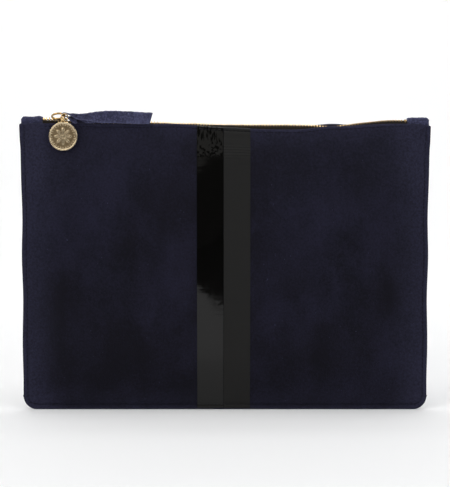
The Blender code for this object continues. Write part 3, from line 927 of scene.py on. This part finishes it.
def stitch_run(name, side, places, rise):
    places = np.array(places)
    centres = on_leaf(side, places[:, 0], places[:, 1], rise)
    tangents = unit(np.gradient(centres, axis=0))
    normals = np.tile(np.array([0.0, float(side), 0.0]), (len(centres), 1))
    normals = unit(normals - tangents * np.sum(normals * tangents, axis=1, keepdims=True))
    return stitches(name, centres, tangents, normals)


def over_film(x):
    return (x > GLOSS_BOX[0].x) & (x < MATTE_BOX[1].x)


def stitching():
    seam = list(seam_line())
    count = int(2 * TOPSTITCH_HALF / STITCH_PITCH)
    middles = [((k + 0.5) / count * 2 - 1) * TOPSTITCH_HALF for k in range(count)]
    mouth = [(x, HEIGHT - TOPSTITCH_DROP) for x in middles]
    for run, word, sunk in ((seam, "seam", GROOVE), (mouth, "mouth", TOP_GROOVE)):
        x = np.array([p[0] for p in run])
        rise = THREAD * 0.45 - sunk + np.where(over_film(x), FILM * 1.6, 0.0)
        piece = stitch_run(f"front_{word}_stitches", FRONT, run, rise)
        fixed(piece, "front_half", "dark_thread", f"front_{word}_thread")
        for end, half in HALVES:
            part = [p for p in run if p[0] * end >= 0]
            piece = stitch_run(f"back_{word}_stitches_{half}", BACK, part, THREAD * 0.45 - sunk)
            opening(piece, end, "dark_thread", f"back_{word}_thread")


# ---------------------------------------------------------------- zip


CHAIN_TOP = 0.2088
# (rise, place along X where it starts, length) of the slopes along the chain
CHAIN_SLOPES = [
    (0.0020, -0.100, -0.022),
    (-0.0019, -0.070, 0.085),
    (0.0027, 0.062, 0.060),
    (0.0009, 0.098, 0.024),
]


def middle_part(x):
    """1 in the middle of the zip, falling to 0 towards the tabs."""
    return smooth((x + 0.085) / 0.03) * smooth((0.105 - x) / 0.03)


def chain_height(x):
    """The middle of the chain, which rises to the tabs and sags between them."""
    top = CHAIN_TOP - 0.0003 * middle_part(x) - 0.0022 * mound(x, 0.078, 0.012)
    for rise, start, length in CHAIN_SLOPES:
        top = top + rise * smooth((x - start) / length)
    return top - CHAIN_HALF_HEIGHT + 0.00008 * waves(x, 0 * x, 0.02, 71)


def chain_roll(x):
    """The chain lies flat at its left end. In the middle its front row is the higher one."""
    return -math.radians(32) * middle_part(x) - math.radians(4) * smooth((x - 0.10) / 0.02)


def in_chain(x, across, up):
    """A point of the chain: across is from the front to the back, before the chain is rolled."""
    x, across, up = np.broadcast_arrays(*(np.asarray(v, float) for v in (x, across, up)))
    turn = TIP_TURN * smooth((SLIDER_BOX[0].x + 0.0008 - x) / 0.004) * (across < 0)
    root = -ROW_OUTER - ROW_SPREAD
    reach = across - root
    across, up = root + reach * np.cos(turn) - up * np.sin(turn), reach * np.sin(turn) + up * np.cos(turn)
    roll = chain_roll(x)
    y = across * np.cos(roll) - up * np.sin(roll)
    z = chain_height(x) + across * np.sin(roll) + up * np.cos(roll)
    return np.stack([x, y, z], axis=-1)


def spread(x):
    """How far a row stands out from the closed chain, left of the slider."""
    return ROW_SPREAD * smooth((SPREAD_FROM - x) / SPREAD_LENGTH)


# (share of half the length along X, share of the reach) corners of a tooth, from its root to its tip
TOOTH_SIDE = [(1.0, 0.0), (1.0, 0.55), (0.55, 0.80), (0.72, 0.92), (0.30, 1.0)]
TOOTH_OUTLINE = TOOTH_SIDE + [(-a, b) for a, b in reversed(TOOTH_SIDE)]
TOOTH_LEVELS = ((-1.0, 0.72), (-0.72, 1.0), (0.72, 1.0), (1.0, 0.72))  # (height, size)


def teeth(name, side, middles):
    """A row of teeth, a little taller in the middle of the zip."""
    points, faces = [], []
    reach = ROW_OUTER - ROW_TIP
    for middle in middles:
        root = ROW_OUTER + float(spread(middle))
        half_height = CHAIN_HALF_HEIGHT + 0.0003 * float(middle_part(middle))
        faces += tube_faces(len(TOOTH_LEVELS), len(TOOTH_OUTLINE), first=len(points))
        for up, size in TOOTH_LEVELS:
            for along, out in TOOTH_OUTLINE:
                across = root - reach * (0.5 + (out - 0.5) * (0.5 + size / 2))
                x = middle + along * TOOTH_HALF * size
                points.append(in_chain(x, side * across, up * half_height))
    return add_mesh(name, points, faces, BRASS, math.radians(35))


def row_middles(offset):
    count = int((ROW_END - ROW_START - offset) / PITCH)
    return [ROW_START + offset + PITCH * (k + 0.4) for k in range(count)]


def tape_grid(side, xs):
    """From behind the turned-in edge, up past the fold and in to the row of teeth."""
    share = np.concatenate([np.linspace(0, 0.5, 8), np.linspace(0.5, 1.0, 12)[1:]])
    x, s = np.meshgrid(xs, share, indexing="ij")
    turn_z = settle(side, x, HEIGHT + 0 * x) - 0.0014  # where the tape starts to lean in
    behind = depth_at(side, x, HEIGHT - 0.004 + 0 * x) - 2 * LEATHER - GAP - TAPE
    inside = np.clip(behind, 0.0017, 0.0043)
    low_part, high_part = np.clip(s / 0.5, 0, 1), np.clip((s - 0.5) / 0.5, 0, 1)
    row = in_chain(x, side * (ROW_OUTER - 0.0002 + spread(x)), -0.0004)
    y = inside + (side * row[..., 1] - inside) * high_part**1.3
    z = TAPE_LOW + (turn_z - TAPE_LOW) * low_part
    z = z + (row[..., 2] - turn_z) * smooth(high_part * 0.98) / smooth(0.98)
    return np.stack([x, side * y, z], axis=-1)


def cord_on_tape(name, side, xs):
    """The bead of cord at the tape's edge, which the teeth grip."""
    path = in_chain(xs, side * (ROW_OUTER - 0.0008 + spread(xs)), 0.0)
    return sweep(name, path, (0, 0, 1), 0.00034, 0.00030, WEBBING, sides=8)


def zip_parts():
    xs = spaced([-ZIP_END, -0.112, ZIP_END], [0.0012, 0.0028])
    fixed(teeth("front_teeth_brass", FRONT, row_middles(0.0)), "front_half", "pale_gold", "front_teeth")
    tape = thick_sheet("front_tape_woven", tape_grid(FRONT, xs), TAPE, WEBBING)
    fixed(tape, "front_half", "zip_tape", "front_zip_tape")
    fixed(cord_on_tape("front_tape_cord", FRONT, xs), "front_half", "zip_tape")
    xs = np.sort(np.concatenate([xs, [0.0]]))
    for end, word in HALVES:
        middles = [m for m in row_middles(PITCH / 2) if m * end > 0]
        opening(teeth(f"back_teeth_{word}", BACK, middles), end, "pale_gold", "back_teeth")
        part = in_half(end, xs)
        tape = thick_sheet(f"back_tape_{word}", tape_grid(BACK, part), TAPE, WEBBING, cut_ends(end))
        opening(tape, end, "zip_tape", "back_zip_tape")
        opening(cord_on_tape(f"back_cord_{word}", BACK, part), end, "zip_tape")


def stop(name, low_x, high_x, near, far, node):
    """A small brass block that follows the chain, from near to far across it."""
    outline = [(low_x, near), (high_x, near), (high_x, far), (low_x, far)]
    tall = CHAIN_HALF_HEIGHT + 0.0002
    block = solid(name, outline, -tall, tall, BRASS, 0.00025, lambda a, b, c: tuple(in_chain(a, b, c)))
    fixed(block, "front_half", "pale_gold", node)


def stops():
    near, far = ROW_SPREAD + 0.0003, ROW_OUTER + ROW_SPREAD
    left, right = -ZIP_END + 0.0002, ROW_START - 0.0002
    stop("front_end_stop", left, right, -far, -near, "front_top_stop")
    stop("back_end_stop", left, right, near, far, "back_top_stop")
    stop("closed_end_stop", ROW_END + 0.0003, ROW_END + 0.0020, -ROW_OUTER, ROW_OUTER, "bottom_stop")


def tab_crest(end, x):
    """The top of a tab's fold: uneven, and rounded off at its outer end."""
    inner, outer = TAB_BOX[0].x, TAB_BOX[1].x
    share = (x - inner) / (outer - inner)
    here, zero = np.array(x), np.array(0.0)
    uneven = 0.00030 * waves(here, zero, 0.007, 81 + end) + 0.00010 * waves(here, zero, 0.0018, 85 + end)
    rounding = 0.0020 * max(0.0, (share - 0.86) / 0.14) ** 2
    return TAB_BOX[1].z + LEFT_TAB_RISE * (end < 0) + float(uneven) - rounding


def end_tab(name, end, node):
    """A strip of suede folded over the zip's end, soft along its top, with a tongue in the mouth."""
    inner, outer, low = TAB_BOX[0].x, TAB_BOX[1].x, TAB_BOX[0].z
    layer, gap = 0.0010, 0.0004
    radius = (layer + gap) / 2
    grid, wear = [], []
    for x in np.linspace(inner, outer, 34):
        share = (x - inner) / (outer - inner)
        crest = tab_crest(end, x)
        rest = HEIGHT - max(float(mouth_drop(side, np.array(end * x))) for side in (FRONT, BACK))
        foot = low + (rest - 0.0001 - low) * ease(x, 0.1395, 0.0018)
        crown = crest - radius - layer / 2
        puff = 0.0004 * math.sin(math.pi * min(1.0, share * 1.1))
        heights = np.linspace(foot, crown, 9)
        profile = [(-radius, z) for z in heights]
        profile += [(-radius * math.cos(t), crown + radius * math.sin(t)) for t in half_turn(6, first=1)]
        profile += [(radius, z) for z in heights[::-1]]
        row = []
        for y, z in profile:
            fat = puff * math.sin(math.pi * np.clip((z - foot) / max(1e-6, crest - foot), 0, 1))
            row.append((end * x, y + math.copysign(fat, y), z))
        grid.append(row)
        wear.append([0.8 * float(mound(z, crest, 0.0012)) + 0.5 * (share < 0.04) for _, z in profile])
    piece = thick_sheet(name, np.array(grid), layer, TAB_NAVY, wear=np.array(wear))
    fixed(piece, "front_half", "tab_suede", node)


# ---------------------------------------------------------------- slider and bridge


PLATE = 0.0008
SLIDER_NARROW = 0.0029
SLIDER_LOW, SLIDER_HIGH = SLIDER_BOX[0].z + SLIDER_LIFT, SLIDER_BOX[1].z + SLIDER_LIFT


def mirrored(outline):
    """An outline with its other half, across the zip's middle."""
    return outline + [(x, -y) for x, y in reversed(outline) if y]


def shell():
    """The slider's two plates, the wedge between them, and a rail along each side of both."""
    left, right, wide, narrow = SLIDER_BOX[0].x, SLIDER_BOX[1].x, SLIDER_BOX[1].y, SLIDER_NARROW
    half = [(right, 0.0016), (right - 0.0005, 0.0024), (right - 0.0016, narrow)]
    half += [(left + 0.0040, narrow + 0.0002), (left + 0.0028, wide)]
    half += [(left + 0.0009, wide), (left, wide - 0.0010)]
    plate = mirrored(half)
    parts = [
        solid("upper_plate", plate, SLIDER_HIGH - PLATE, SLIDER_HIGH, GOLD, 0.00022),
        solid("lower_plate", plate, SLIDER_LOW, SLIDER_LOW + PLATE, GOLD, 0.00022),
    ]
    wedge = [(left + 0.0001, 0.0), (left + 0.0009, 0.0008), (left + 0.0026, 0.0004), (left + 0.0034, 0.0)]
    parts.append(solid("wedge", mirrored(wedge), SLIDER_LOW + PLATE / 2, SLIDER_HIGH - PLATE / 2, GOLD))
    ends = [(left + 0.0008, wide), (left + 0.0029, wide)]
    ends += [(left + 0.0041, narrow + 0.0002), (right - 0.0016, narrow)]
    for side in (FRONT, BACK):
        rail = [(x, side * y) for x, y in ends]
        rail += [(x, side * (y - 0.0006)) for x, y in reversed(ends)]
        for low in (SLIDER_LOW + PLATE - 0.0001, SLIDER_HIGH - PLATE - 0.0005):
            parts.append(solid("rail", rail, low, low + 0.0006, GOLD))
    body = join("slider_shell", parts)
    body.data.set_sharp_from_angle(angle=math.radians(40))
    return body


def slider():
    fixed(shell(), "slider", "pale_gold", "slider_body")
    middle = (BRIDGE_BOX[0].x + BRIDGE_BOX[1].x) / 2
    reach = (BRIDGE_BOX[1].x - BRIDGE_BOX[0].x) / 2
    foot, squareness = SLIDER_HIGH - 0.0003, 0.72
    rise = BRIDGE_BOX[1].z - 0.0004 - foot
    path = []
    for turn in half_turn(24):
        flat = math.copysign(abs(math.cos(turn)) ** squareness, math.cos(turn))
        path.append((middle + (reach - 0.0003) * flat, 0.0, foot + rise * math.sin(turn) ** squareness))
    arch = sweep("slider_arch", path, (0, 1, 0), 0.00095, 0.00040, GOLD, power=0.7)
    fixed(arch, "slider", "pale_gold", "slider_bridge")
    on_plate = SLIDER_HIGH + 0.0002
    spring = [(middle - reach + 0.0014, 0.0, on_plate), (middle, 0.0, on_plate + 0.00025)]
    spring.append((middle + reach - 0.0012, 0.0, on_plate))
    leaf = sweep("slider_spring_leaf", spring, (0, 1, 0), 0.0005, 0.00016, STEEL, power=0.6)
    fixed(leaf, "slider", "spring_steel", "slider_lock_spring")


# ---------------------------------------------------------------- ring, link, medallion and strap


def joint_place(name):
    return np.array(JOINTS[name]["pos_m"], float)


def ring_point(turn):
    """A point on the middle of the ring's wire, at an angle from the bridge."""
    crown = joint_place("ring_tilt")
    to_crown = -unit(RING_LEAN)
    across = unit(RING_ACROSS - to_crown * np.dot(RING_ACROSS, to_crown))
    centre = crown - to_crown * RING_RADIUS
    return centre + (to_crown * math.cos(turn) + across * math.sin(turn)) * RING_RADIUS


def ring_and_link():
    path = [ring_point(2 * math.pi * k / 48) for k in range(48)]
    normal = np.cross(path[12] - path[0], path[24] - path[0])
    ring = sweep("pull_ring_wire", path, unit(normal), RING_WIRE, RING_WIRE, RING_GOLD_SHADED, closed=True)
    fixed(ring, "ring", "pale_gold", "pull_ring")
    start = ring_point(LINK_TURN)
    end = joint_place("medallion_swing") + np.array([0, 0, 0.0014])
    along = unit(end - start)
    sideways = unit(np.cross(along, np.array([0.0, 0.0, 1.0])))
    up = np.cross(sideways, along)
    path = []
    for centre, first in ((end, math.pi / 2), (start, 3 * math.pi / 2)):
        for turn in half_turn(14):
            arm = along * math.cos(first - turn) + up * math.sin(first - turn)
            path.append(centre + arm * LINK_RADIUS)
    link = sweep("medallion_link_wire", path, sideways, LINK_WIRE, LINK_WIRE, GOLD, closed=True, sides=12)
    fixed(link, "ring", "pale_gold", "medallion_link")


def relief(r, turn):
    """The coin's own pattern, from 0 to 1: a ring of beads round an eight-petalled flower."""
    bead = math.exp(-(((r - 0.80) / 0.045) ** 2)) * max(0.0, math.cos(28 * turn)) ** 0.7
    petal = abs(math.cos(4 * turn)) ** 0.7
    flower = 1 / (1 + math.exp((r - 0.10 - 0.50 * petal) / 0.020))
    vein = math.exp(-(((1 - abs(math.cos(4 * turn))) / 0.012) ** 2)) * (0.16 < r < 0.48)
    heart = math.exp(-(((r - 0.13) / 0.03) ** 2))
    return max(bead, flower * (1 - 0.7 * vein) * (1 - 0.8 * heart))


COIN_HALF, COIN_SUNK, COIN_RELIEF = 0.0008, 0.00040, 0.00028
# (share of the radius, height above the sunk front face) out over the rim
COIN_RIM = [(0.885, 0.00016), (0.90, 0.00036), (0.925, 0.00046), (0.95, 0.00048), (0.975, 0.00042)]
COIN_RIM += [(0.99, 0.00026), (1.0, 0.0)]
# (share of the radius, depth into the coin from its back) from the edge in over the back
COIN_BACK = [(1.0, 0.00030), (0.985, 0.00008), (0.96, 0.0), (0.5, 0.0), (0.02, 0.0)]


def coin_rings():
    """(share of the radius, y, whether the pattern is on it) from the front's middle to the back's."""
    face = -COIN_HALF + COIN_SUNK
    rings = [(r, face, True) for r in np.linspace(0.02, 0.865, 44)]
    rings += [(r, face - rise, False) for r, rise in COIN_RIM]
    return rings + [(r, COIN_HALF - sunk, False) for r, sunk in COIN_BACK]


def coin():
    low, high = MEDALLION_BOX
    radius = (high.x - low.x) / 2
    middle = np.array([(low.x + high.x) / 2, (low.y + high.y) / 2, low.z + radius])
    segments, rings = 240, coin_rings()
    points, raised = [], []
    for r, y, patterned in rings:
        for k in range(segments):
            turn = 2 * math.pi * k / segments
            mark = relief(r, turn) if patterned else 0.0
            raised.append(0.75 * mark if patterned else float(y < 0))
            place = [r * radius * math.cos(turn), y - COIN_RELIEF * mark, r * radius * math.sin(turn)]
            points.append(middle + np.array(place))
    faces = tube_faces(len(rings), segments, capped=False)
    front, last = len(points), (len(rings) - 1) * segments
    points.append(middle + np.array([0, -COIN_HALF + COIN_SUNK - COIN_RELIEF * relief(0.0, 0.0), 0]))
    points.append(middle + np.array([0, COIN_HALF, 0]))
    for k in range(segments):
        m = (k + 1) % segments
        faces.append((k, m, front))
        faces.append((last + k, last + m, front + 1))
    made = add_mesh("medallion_coin", points, faces, BRONZE, math.radians(70))
    store_wear_and_highlight(made, raised + [0.5, 0.0])
    return made


def medallion():
    fixed(coin(), "medallion", "antique_brass", "medallion")
    middle = joint_place("medallion_swing")
    turns = np.linspace(0, 2 * math.pi, 32, endpoint=False)
    path = [middle + np.array([math.cos(a), 0, math.sin(a)]) * LINK_RADIUS for a in turns]
    lug = sweep("medallion_lug", path, (0, 1, 0), LINK_WIRE, LINK_WIRE, GOLD, closed=True, sides=12)
    fixed(lug, "medallion", "antique_brass")


STRAP_EYE = joint_place("strap_lift")
STRAP_SHORT = 0.0008  # it ends this far inside its box
STRAP_LENGTH = STRAP_BOX[1].x - STRAP_EYE[0] - STRAP_SHORT
STRAP_LAYER, STRAP_LOOP = 0.00085, 0.0012


def strap_station(out):
    """At a distance out from its eye: x, y, height, turn, half width, and the layers' distance from it."""
    turned = ease(out, 0.0008, 0.011) * math.pi / 2
    height = STRAP_EYE[2] - 0.0024 * ease(out, 0.001, 0.012) - 0.0006 * ease(out, 0.040, 0.025)
    height += 0.0003 * float(mound(out, 0.034, 0.012))
    y = STRAP_EYE[1] - 0.0068 * ease(out, 0.001, 0.009) - 0.0021 * ease(out, 0.008, 0.012)
    y += 0.00025 * math.sin(out * 210) * ease(out, 0.010, 0.020)
    wide = 0.0010 + 0.0013 * ease(out, 0.003, 0.008) + 0.0018 * ease(out, 0.010, 0.022)
    wide -= 0.0003 * ease(out, 0.045, 0.020)
    shut = STRAP_LAYER * 0.56
    offset = STRAP_LOOP + (shut - STRAP_LOOP) * ease(out, 0.0, 0.0045)
    return STRAP_EYE[0] + out, y, height, turned, wide, offset


def strap_section(out, side, across):
    """The points across one layer, whose side is 1 in front and -1 behind."""
    x, y, height, turned, wide, offset = strap_station(out)
    if side < 0:  # the rear layer slips down beside the ring
        slip = 0.0032 * float(mound(out, 0.0060, 0.0045)) * ease(out, 0.0005, 0.003)
        slip += 0.0013 * float(mound(out, 0.0160, 0.0080))
        height, wide = height - slip / 2, wide + slip / 2
    else:  # and the front layer is drawn up off it
        drawn = float(mound(out, 0.0140, 0.0080))
        height, wide = height + 0.0004 * drawn, wide - 0.0006 * drawn
    end_slant = 0.0011 * ease(out, 0.8 * STRAP_LENGTH, 0.2 * STRAP_LENGTH)
    fray = 0.00013 * float(waves(np.array(out), np.array(0.1 * side), 0.0022, 93))
    row = []
    for q in across:
        curl = 0.00018 * math.sin(out * 330 + q * 2.0) + 0.0003 * q * q * (side > 0)
        t = side * (offset + curl * min(1.0, out / 0.01))
        w = q * wide
        edge = w + fray * (abs(q) > 0.99)
        away = w * math.cos(turned) - t * math.sin(turned)
        row.append((x + end_slant * q, y + away, height + edge * math.sin(turned) + t * math.cos(turned)))
    return row


def strap():
    """Two layers of suede looped round the ring: gathered and turned there, flat further along."""
    outs = STRAP_LENGTH * np.concatenate([np.linspace(0.0, 0.2, 24), np.linspace(0.2, 1.0, 76)[1:]])
    across = np.linspace(-1.0, 1.0, 13)
    rows = [strap_section(out, -1, across) for out in outs[::-1]]
    for turn in half_turn(12, first=1):
        x, z = STRAP_EYE[0] - STRAP_LOOP * math.sin(turn), STRAP_EYE[2] - STRAP_LOOP * math.cos(turn)
        rows.append([(x, STRAP_EYE[1] + q * 0.0010, z) for q in across])
    rows += [strap_section(out, 1, across) for out in outs]
    wear = np.tile(np.where(np.abs(across) > 0.9, 0.7, 0.0), (len(rows), 1))
    piece = thick_sheet("pull_strap_suede", np.array(rows), STRAP_LAYER, TAB_NAVY, wear=wear)
    piece.data.materials.append(NAVY)  # the rear layer gets the darker navy suede: painted shade
    for face in piece.data.polygons:
        out = face.center.x - STRAP_EYE[0]
        face.material_index = int(out > 0.002 and face.center.y > strap_station(out)[1])
    fixed(piece, "strap", "tab_suede", "pull_strap")
    stitched = STRAP_LENGTH * (0.0100 / (STRAP_LENGTH + STRAP_SHORT))
    x, y, height, _, wide, offset = strap_station(stitched)
    front = y - offset - STRAP_LAYER / 2 - 0.0001
    path = [(x, front + 0.0002 * abs(q), height + q * wide * 0.7) for q in np.linspace(-1, 1, 7)]
    bar = sweep("strap_bar_stitch", path, (1, 0, 0), THREAD * 1.1, THREAD, THREAD_DARK, sides=8)
    fixed(bar, "strap", "dark_thread", "strap_stitch")


# ---------------------------------------------------------------- floor, light and camera


FLOOR_DROP = 0.0006  # air under the pouch
MIRRORED_FLOOR = -0.64  # reflections see the paper only from here back


def paper():
    """White paper that glows faintly as painted light, more so far behind the pouch, and dark in reflections
    near the camera.
    """
    made, tree, shader, place = new_material("paper")
    tone = noise(tree, place, 3.0, 3.0)
    grain = noise(tree, place, 600.0, 3.0)
    back = part_of(tree, place, "Y")
    dress(
        tree,
        shader,
        Base_Color=mix(tree, tone, (0.925, 0.925, 0.930), (0.945, 0.945, 0.945)),
        Roughness=0.8,
        Specular_IOR_Level=0.2,
        # painted light: the paper glows a little, more so far behind the pouch
        Emission_Color=(1.0, 1.0, 0.97, 1.0),
        Emission_Strength=remap(tree, back, 0.15, 1.3, 0.02, 0.15),
        Normal=bump(tree, grain, 0.0002, 0.2),
    )
    glossy = put(tree, "ShaderNodeLightPath").outputs["Is Glossy Ray"]
    beyond = maths(tree, "MULTIPLY", glossy, maths(tree, "LESS_THAN", back, MIRRORED_FLOOR))
    dark = put(tree, "ShaderNodeBsdfDiffuse", {"Color": (0.02, 0.02, 0.02, 1.0)})
    shown = put(tree, "ShaderNodeMixShader", {0: beyond, 1: shader, 2: dark})
    wire(tree, tree.nodes["Material Output"].inputs["Surface"], shown)
    return made


def floor():
    """A sweep of paper: flat from in front of the pouch, then curving up behind it."""
    front, bend_from, radius, top = -6.0, 1.30, 0.60, 2.6
    profile = [(y, 0.0) for y in np.linspace(front, bend_from, 30)]
    for turn in np.linspace(0, math.pi / 2, 13)[1:]:
        profile.append((bend_from + radius * math.sin(turn), radius * (1 - math.cos(turn))))
    profile.append((bend_from + radius, top))
    xs = np.linspace(-5.0, 5.0, 19)
    points = [(x, y, z - FLOOR_DROP) for x in xs for y, z in profile]
    mesh = bpy.data.meshes.new("floor")
    mesh.from_pydata(points, [], grid_faces(len(xs), len(profile)))
    mesh.shade_smooth()
    mesh.materials.append(paper())
    linked("floor", mesh)


def world():
    """White to the camera, soft light on cloth, and a dark room with a bright ceiling in reflections."""
    made = bpy.data.worlds.new("studio")
    bpy.context.scene.world = made
    made.use_nodes = True
    tree = made.node_tree
    tree.nodes.clear()

    def light(colour, strength):
        return put(tree, "ShaderNodeBackground", {"Color": (*colour, 1.0), "Strength": strength})

    rays = put(tree, "ShaderNodeLightPath").outputs
    height = part_of(tree, put(tree, "ShaderNodeTexCoord").outputs["Generated"], "Z")
    soft = light((0.97, 0.98, 1.0), 0.33)
    seen = light((0.875, 0.88, 0.87), 1.0)
    mirrored_room = light((1.0, 0.98, 0.94), remap(tree, height, 0.07, 0.11, 0.03, 0.48))
    unseen = put(tree, "ShaderNodeMixShader", {0: rays["Is Glossy Ray"], 1: soft, 2: mirrored_room})
    both = put(tree, "ShaderNodeMixShader", {0: rays["Is Camera Ray"], 1: unseen, 2: seen})
    put(tree, "ShaderNodeOutputWorld", {0: both})


def aimed(name, data, place, aim):
    made = linked(name, data)
    made.location = place
    made.rotation_mode = "QUATERNION"
    made.rotation_quaternion = (Vector(aim) - Vector(place)).to_track_quat("-Z", "Y")
    return made


def lamp(name, place, aim, size, power, colour=(1.0, 1.0, 1.0)):
    data = bpy.data.lights.new(name, "AREA")
    data.shape = "RECTANGLE"
    data.size, data.size_y = size
    data.energy = power
    data.color = colour
    aimed(name, data, place, aim).visible_camera = False


def lights():
    lamp("overhead", (0.0, -0.25, 1.7), (0.0, 0.0, 0.0), (1.8, 1.2), 15.6)
    lamp("key", (-1.1, -1.5, 0.95), (0.0, 0.0, 0.08), (0.9, 0.9), 9.0, (1.0, 0.985, 0.96))
    lamp("fill", (1.3, -1.3, 0.65), (0.0, 0.0, 0.08), (0.9, 0.9), 5.6, (0.95, 0.975, 1.0))
    lamp("backdrop", (0.0, 0.6, 1.7), (0.0, 1.7, 0.5), (2.6, 0.6), 9)


def camera():
    lens, distance, elevation, aim_height = 90.0, 0.886, math.radians(3.3), 0.1210
    data = bpy.data.cameras.new("camera")
    data.lens, data.sensor_width = lens, 36.0
    aim = Vector((0.0, 0.0, aim_height))
    back = Vector((0.0, -math.cos(elevation), math.sin(elevation)))
    bpy.context.scene.camera = aimed("camera", data, aim + back * distance, aim)


simulate_form()
panels()
stripe("stripe_gloss_film", GLOSS_BOX, GLOSS, "gloss_film", "gloss_stripe")
stripe("stripe_matte_film", MATTE_BOX, MATTE, "matte_film", "matte_stripe")
linings()
stitching()
zip_parts()
stops()
end_tab("left_tab_suede", -1, "left_zip_tab")
end_tab("right_tab_suede", 1, "right_zip_tab")
slider()
ring_and_link()
medallion()
strap()
floor()
world()
lights()
camera()
bpy.context.scene.view_settings.view_transform = "Standard"
bpy.context.scene.view_settings.look = "None"

bpy.context.view_layer.update()
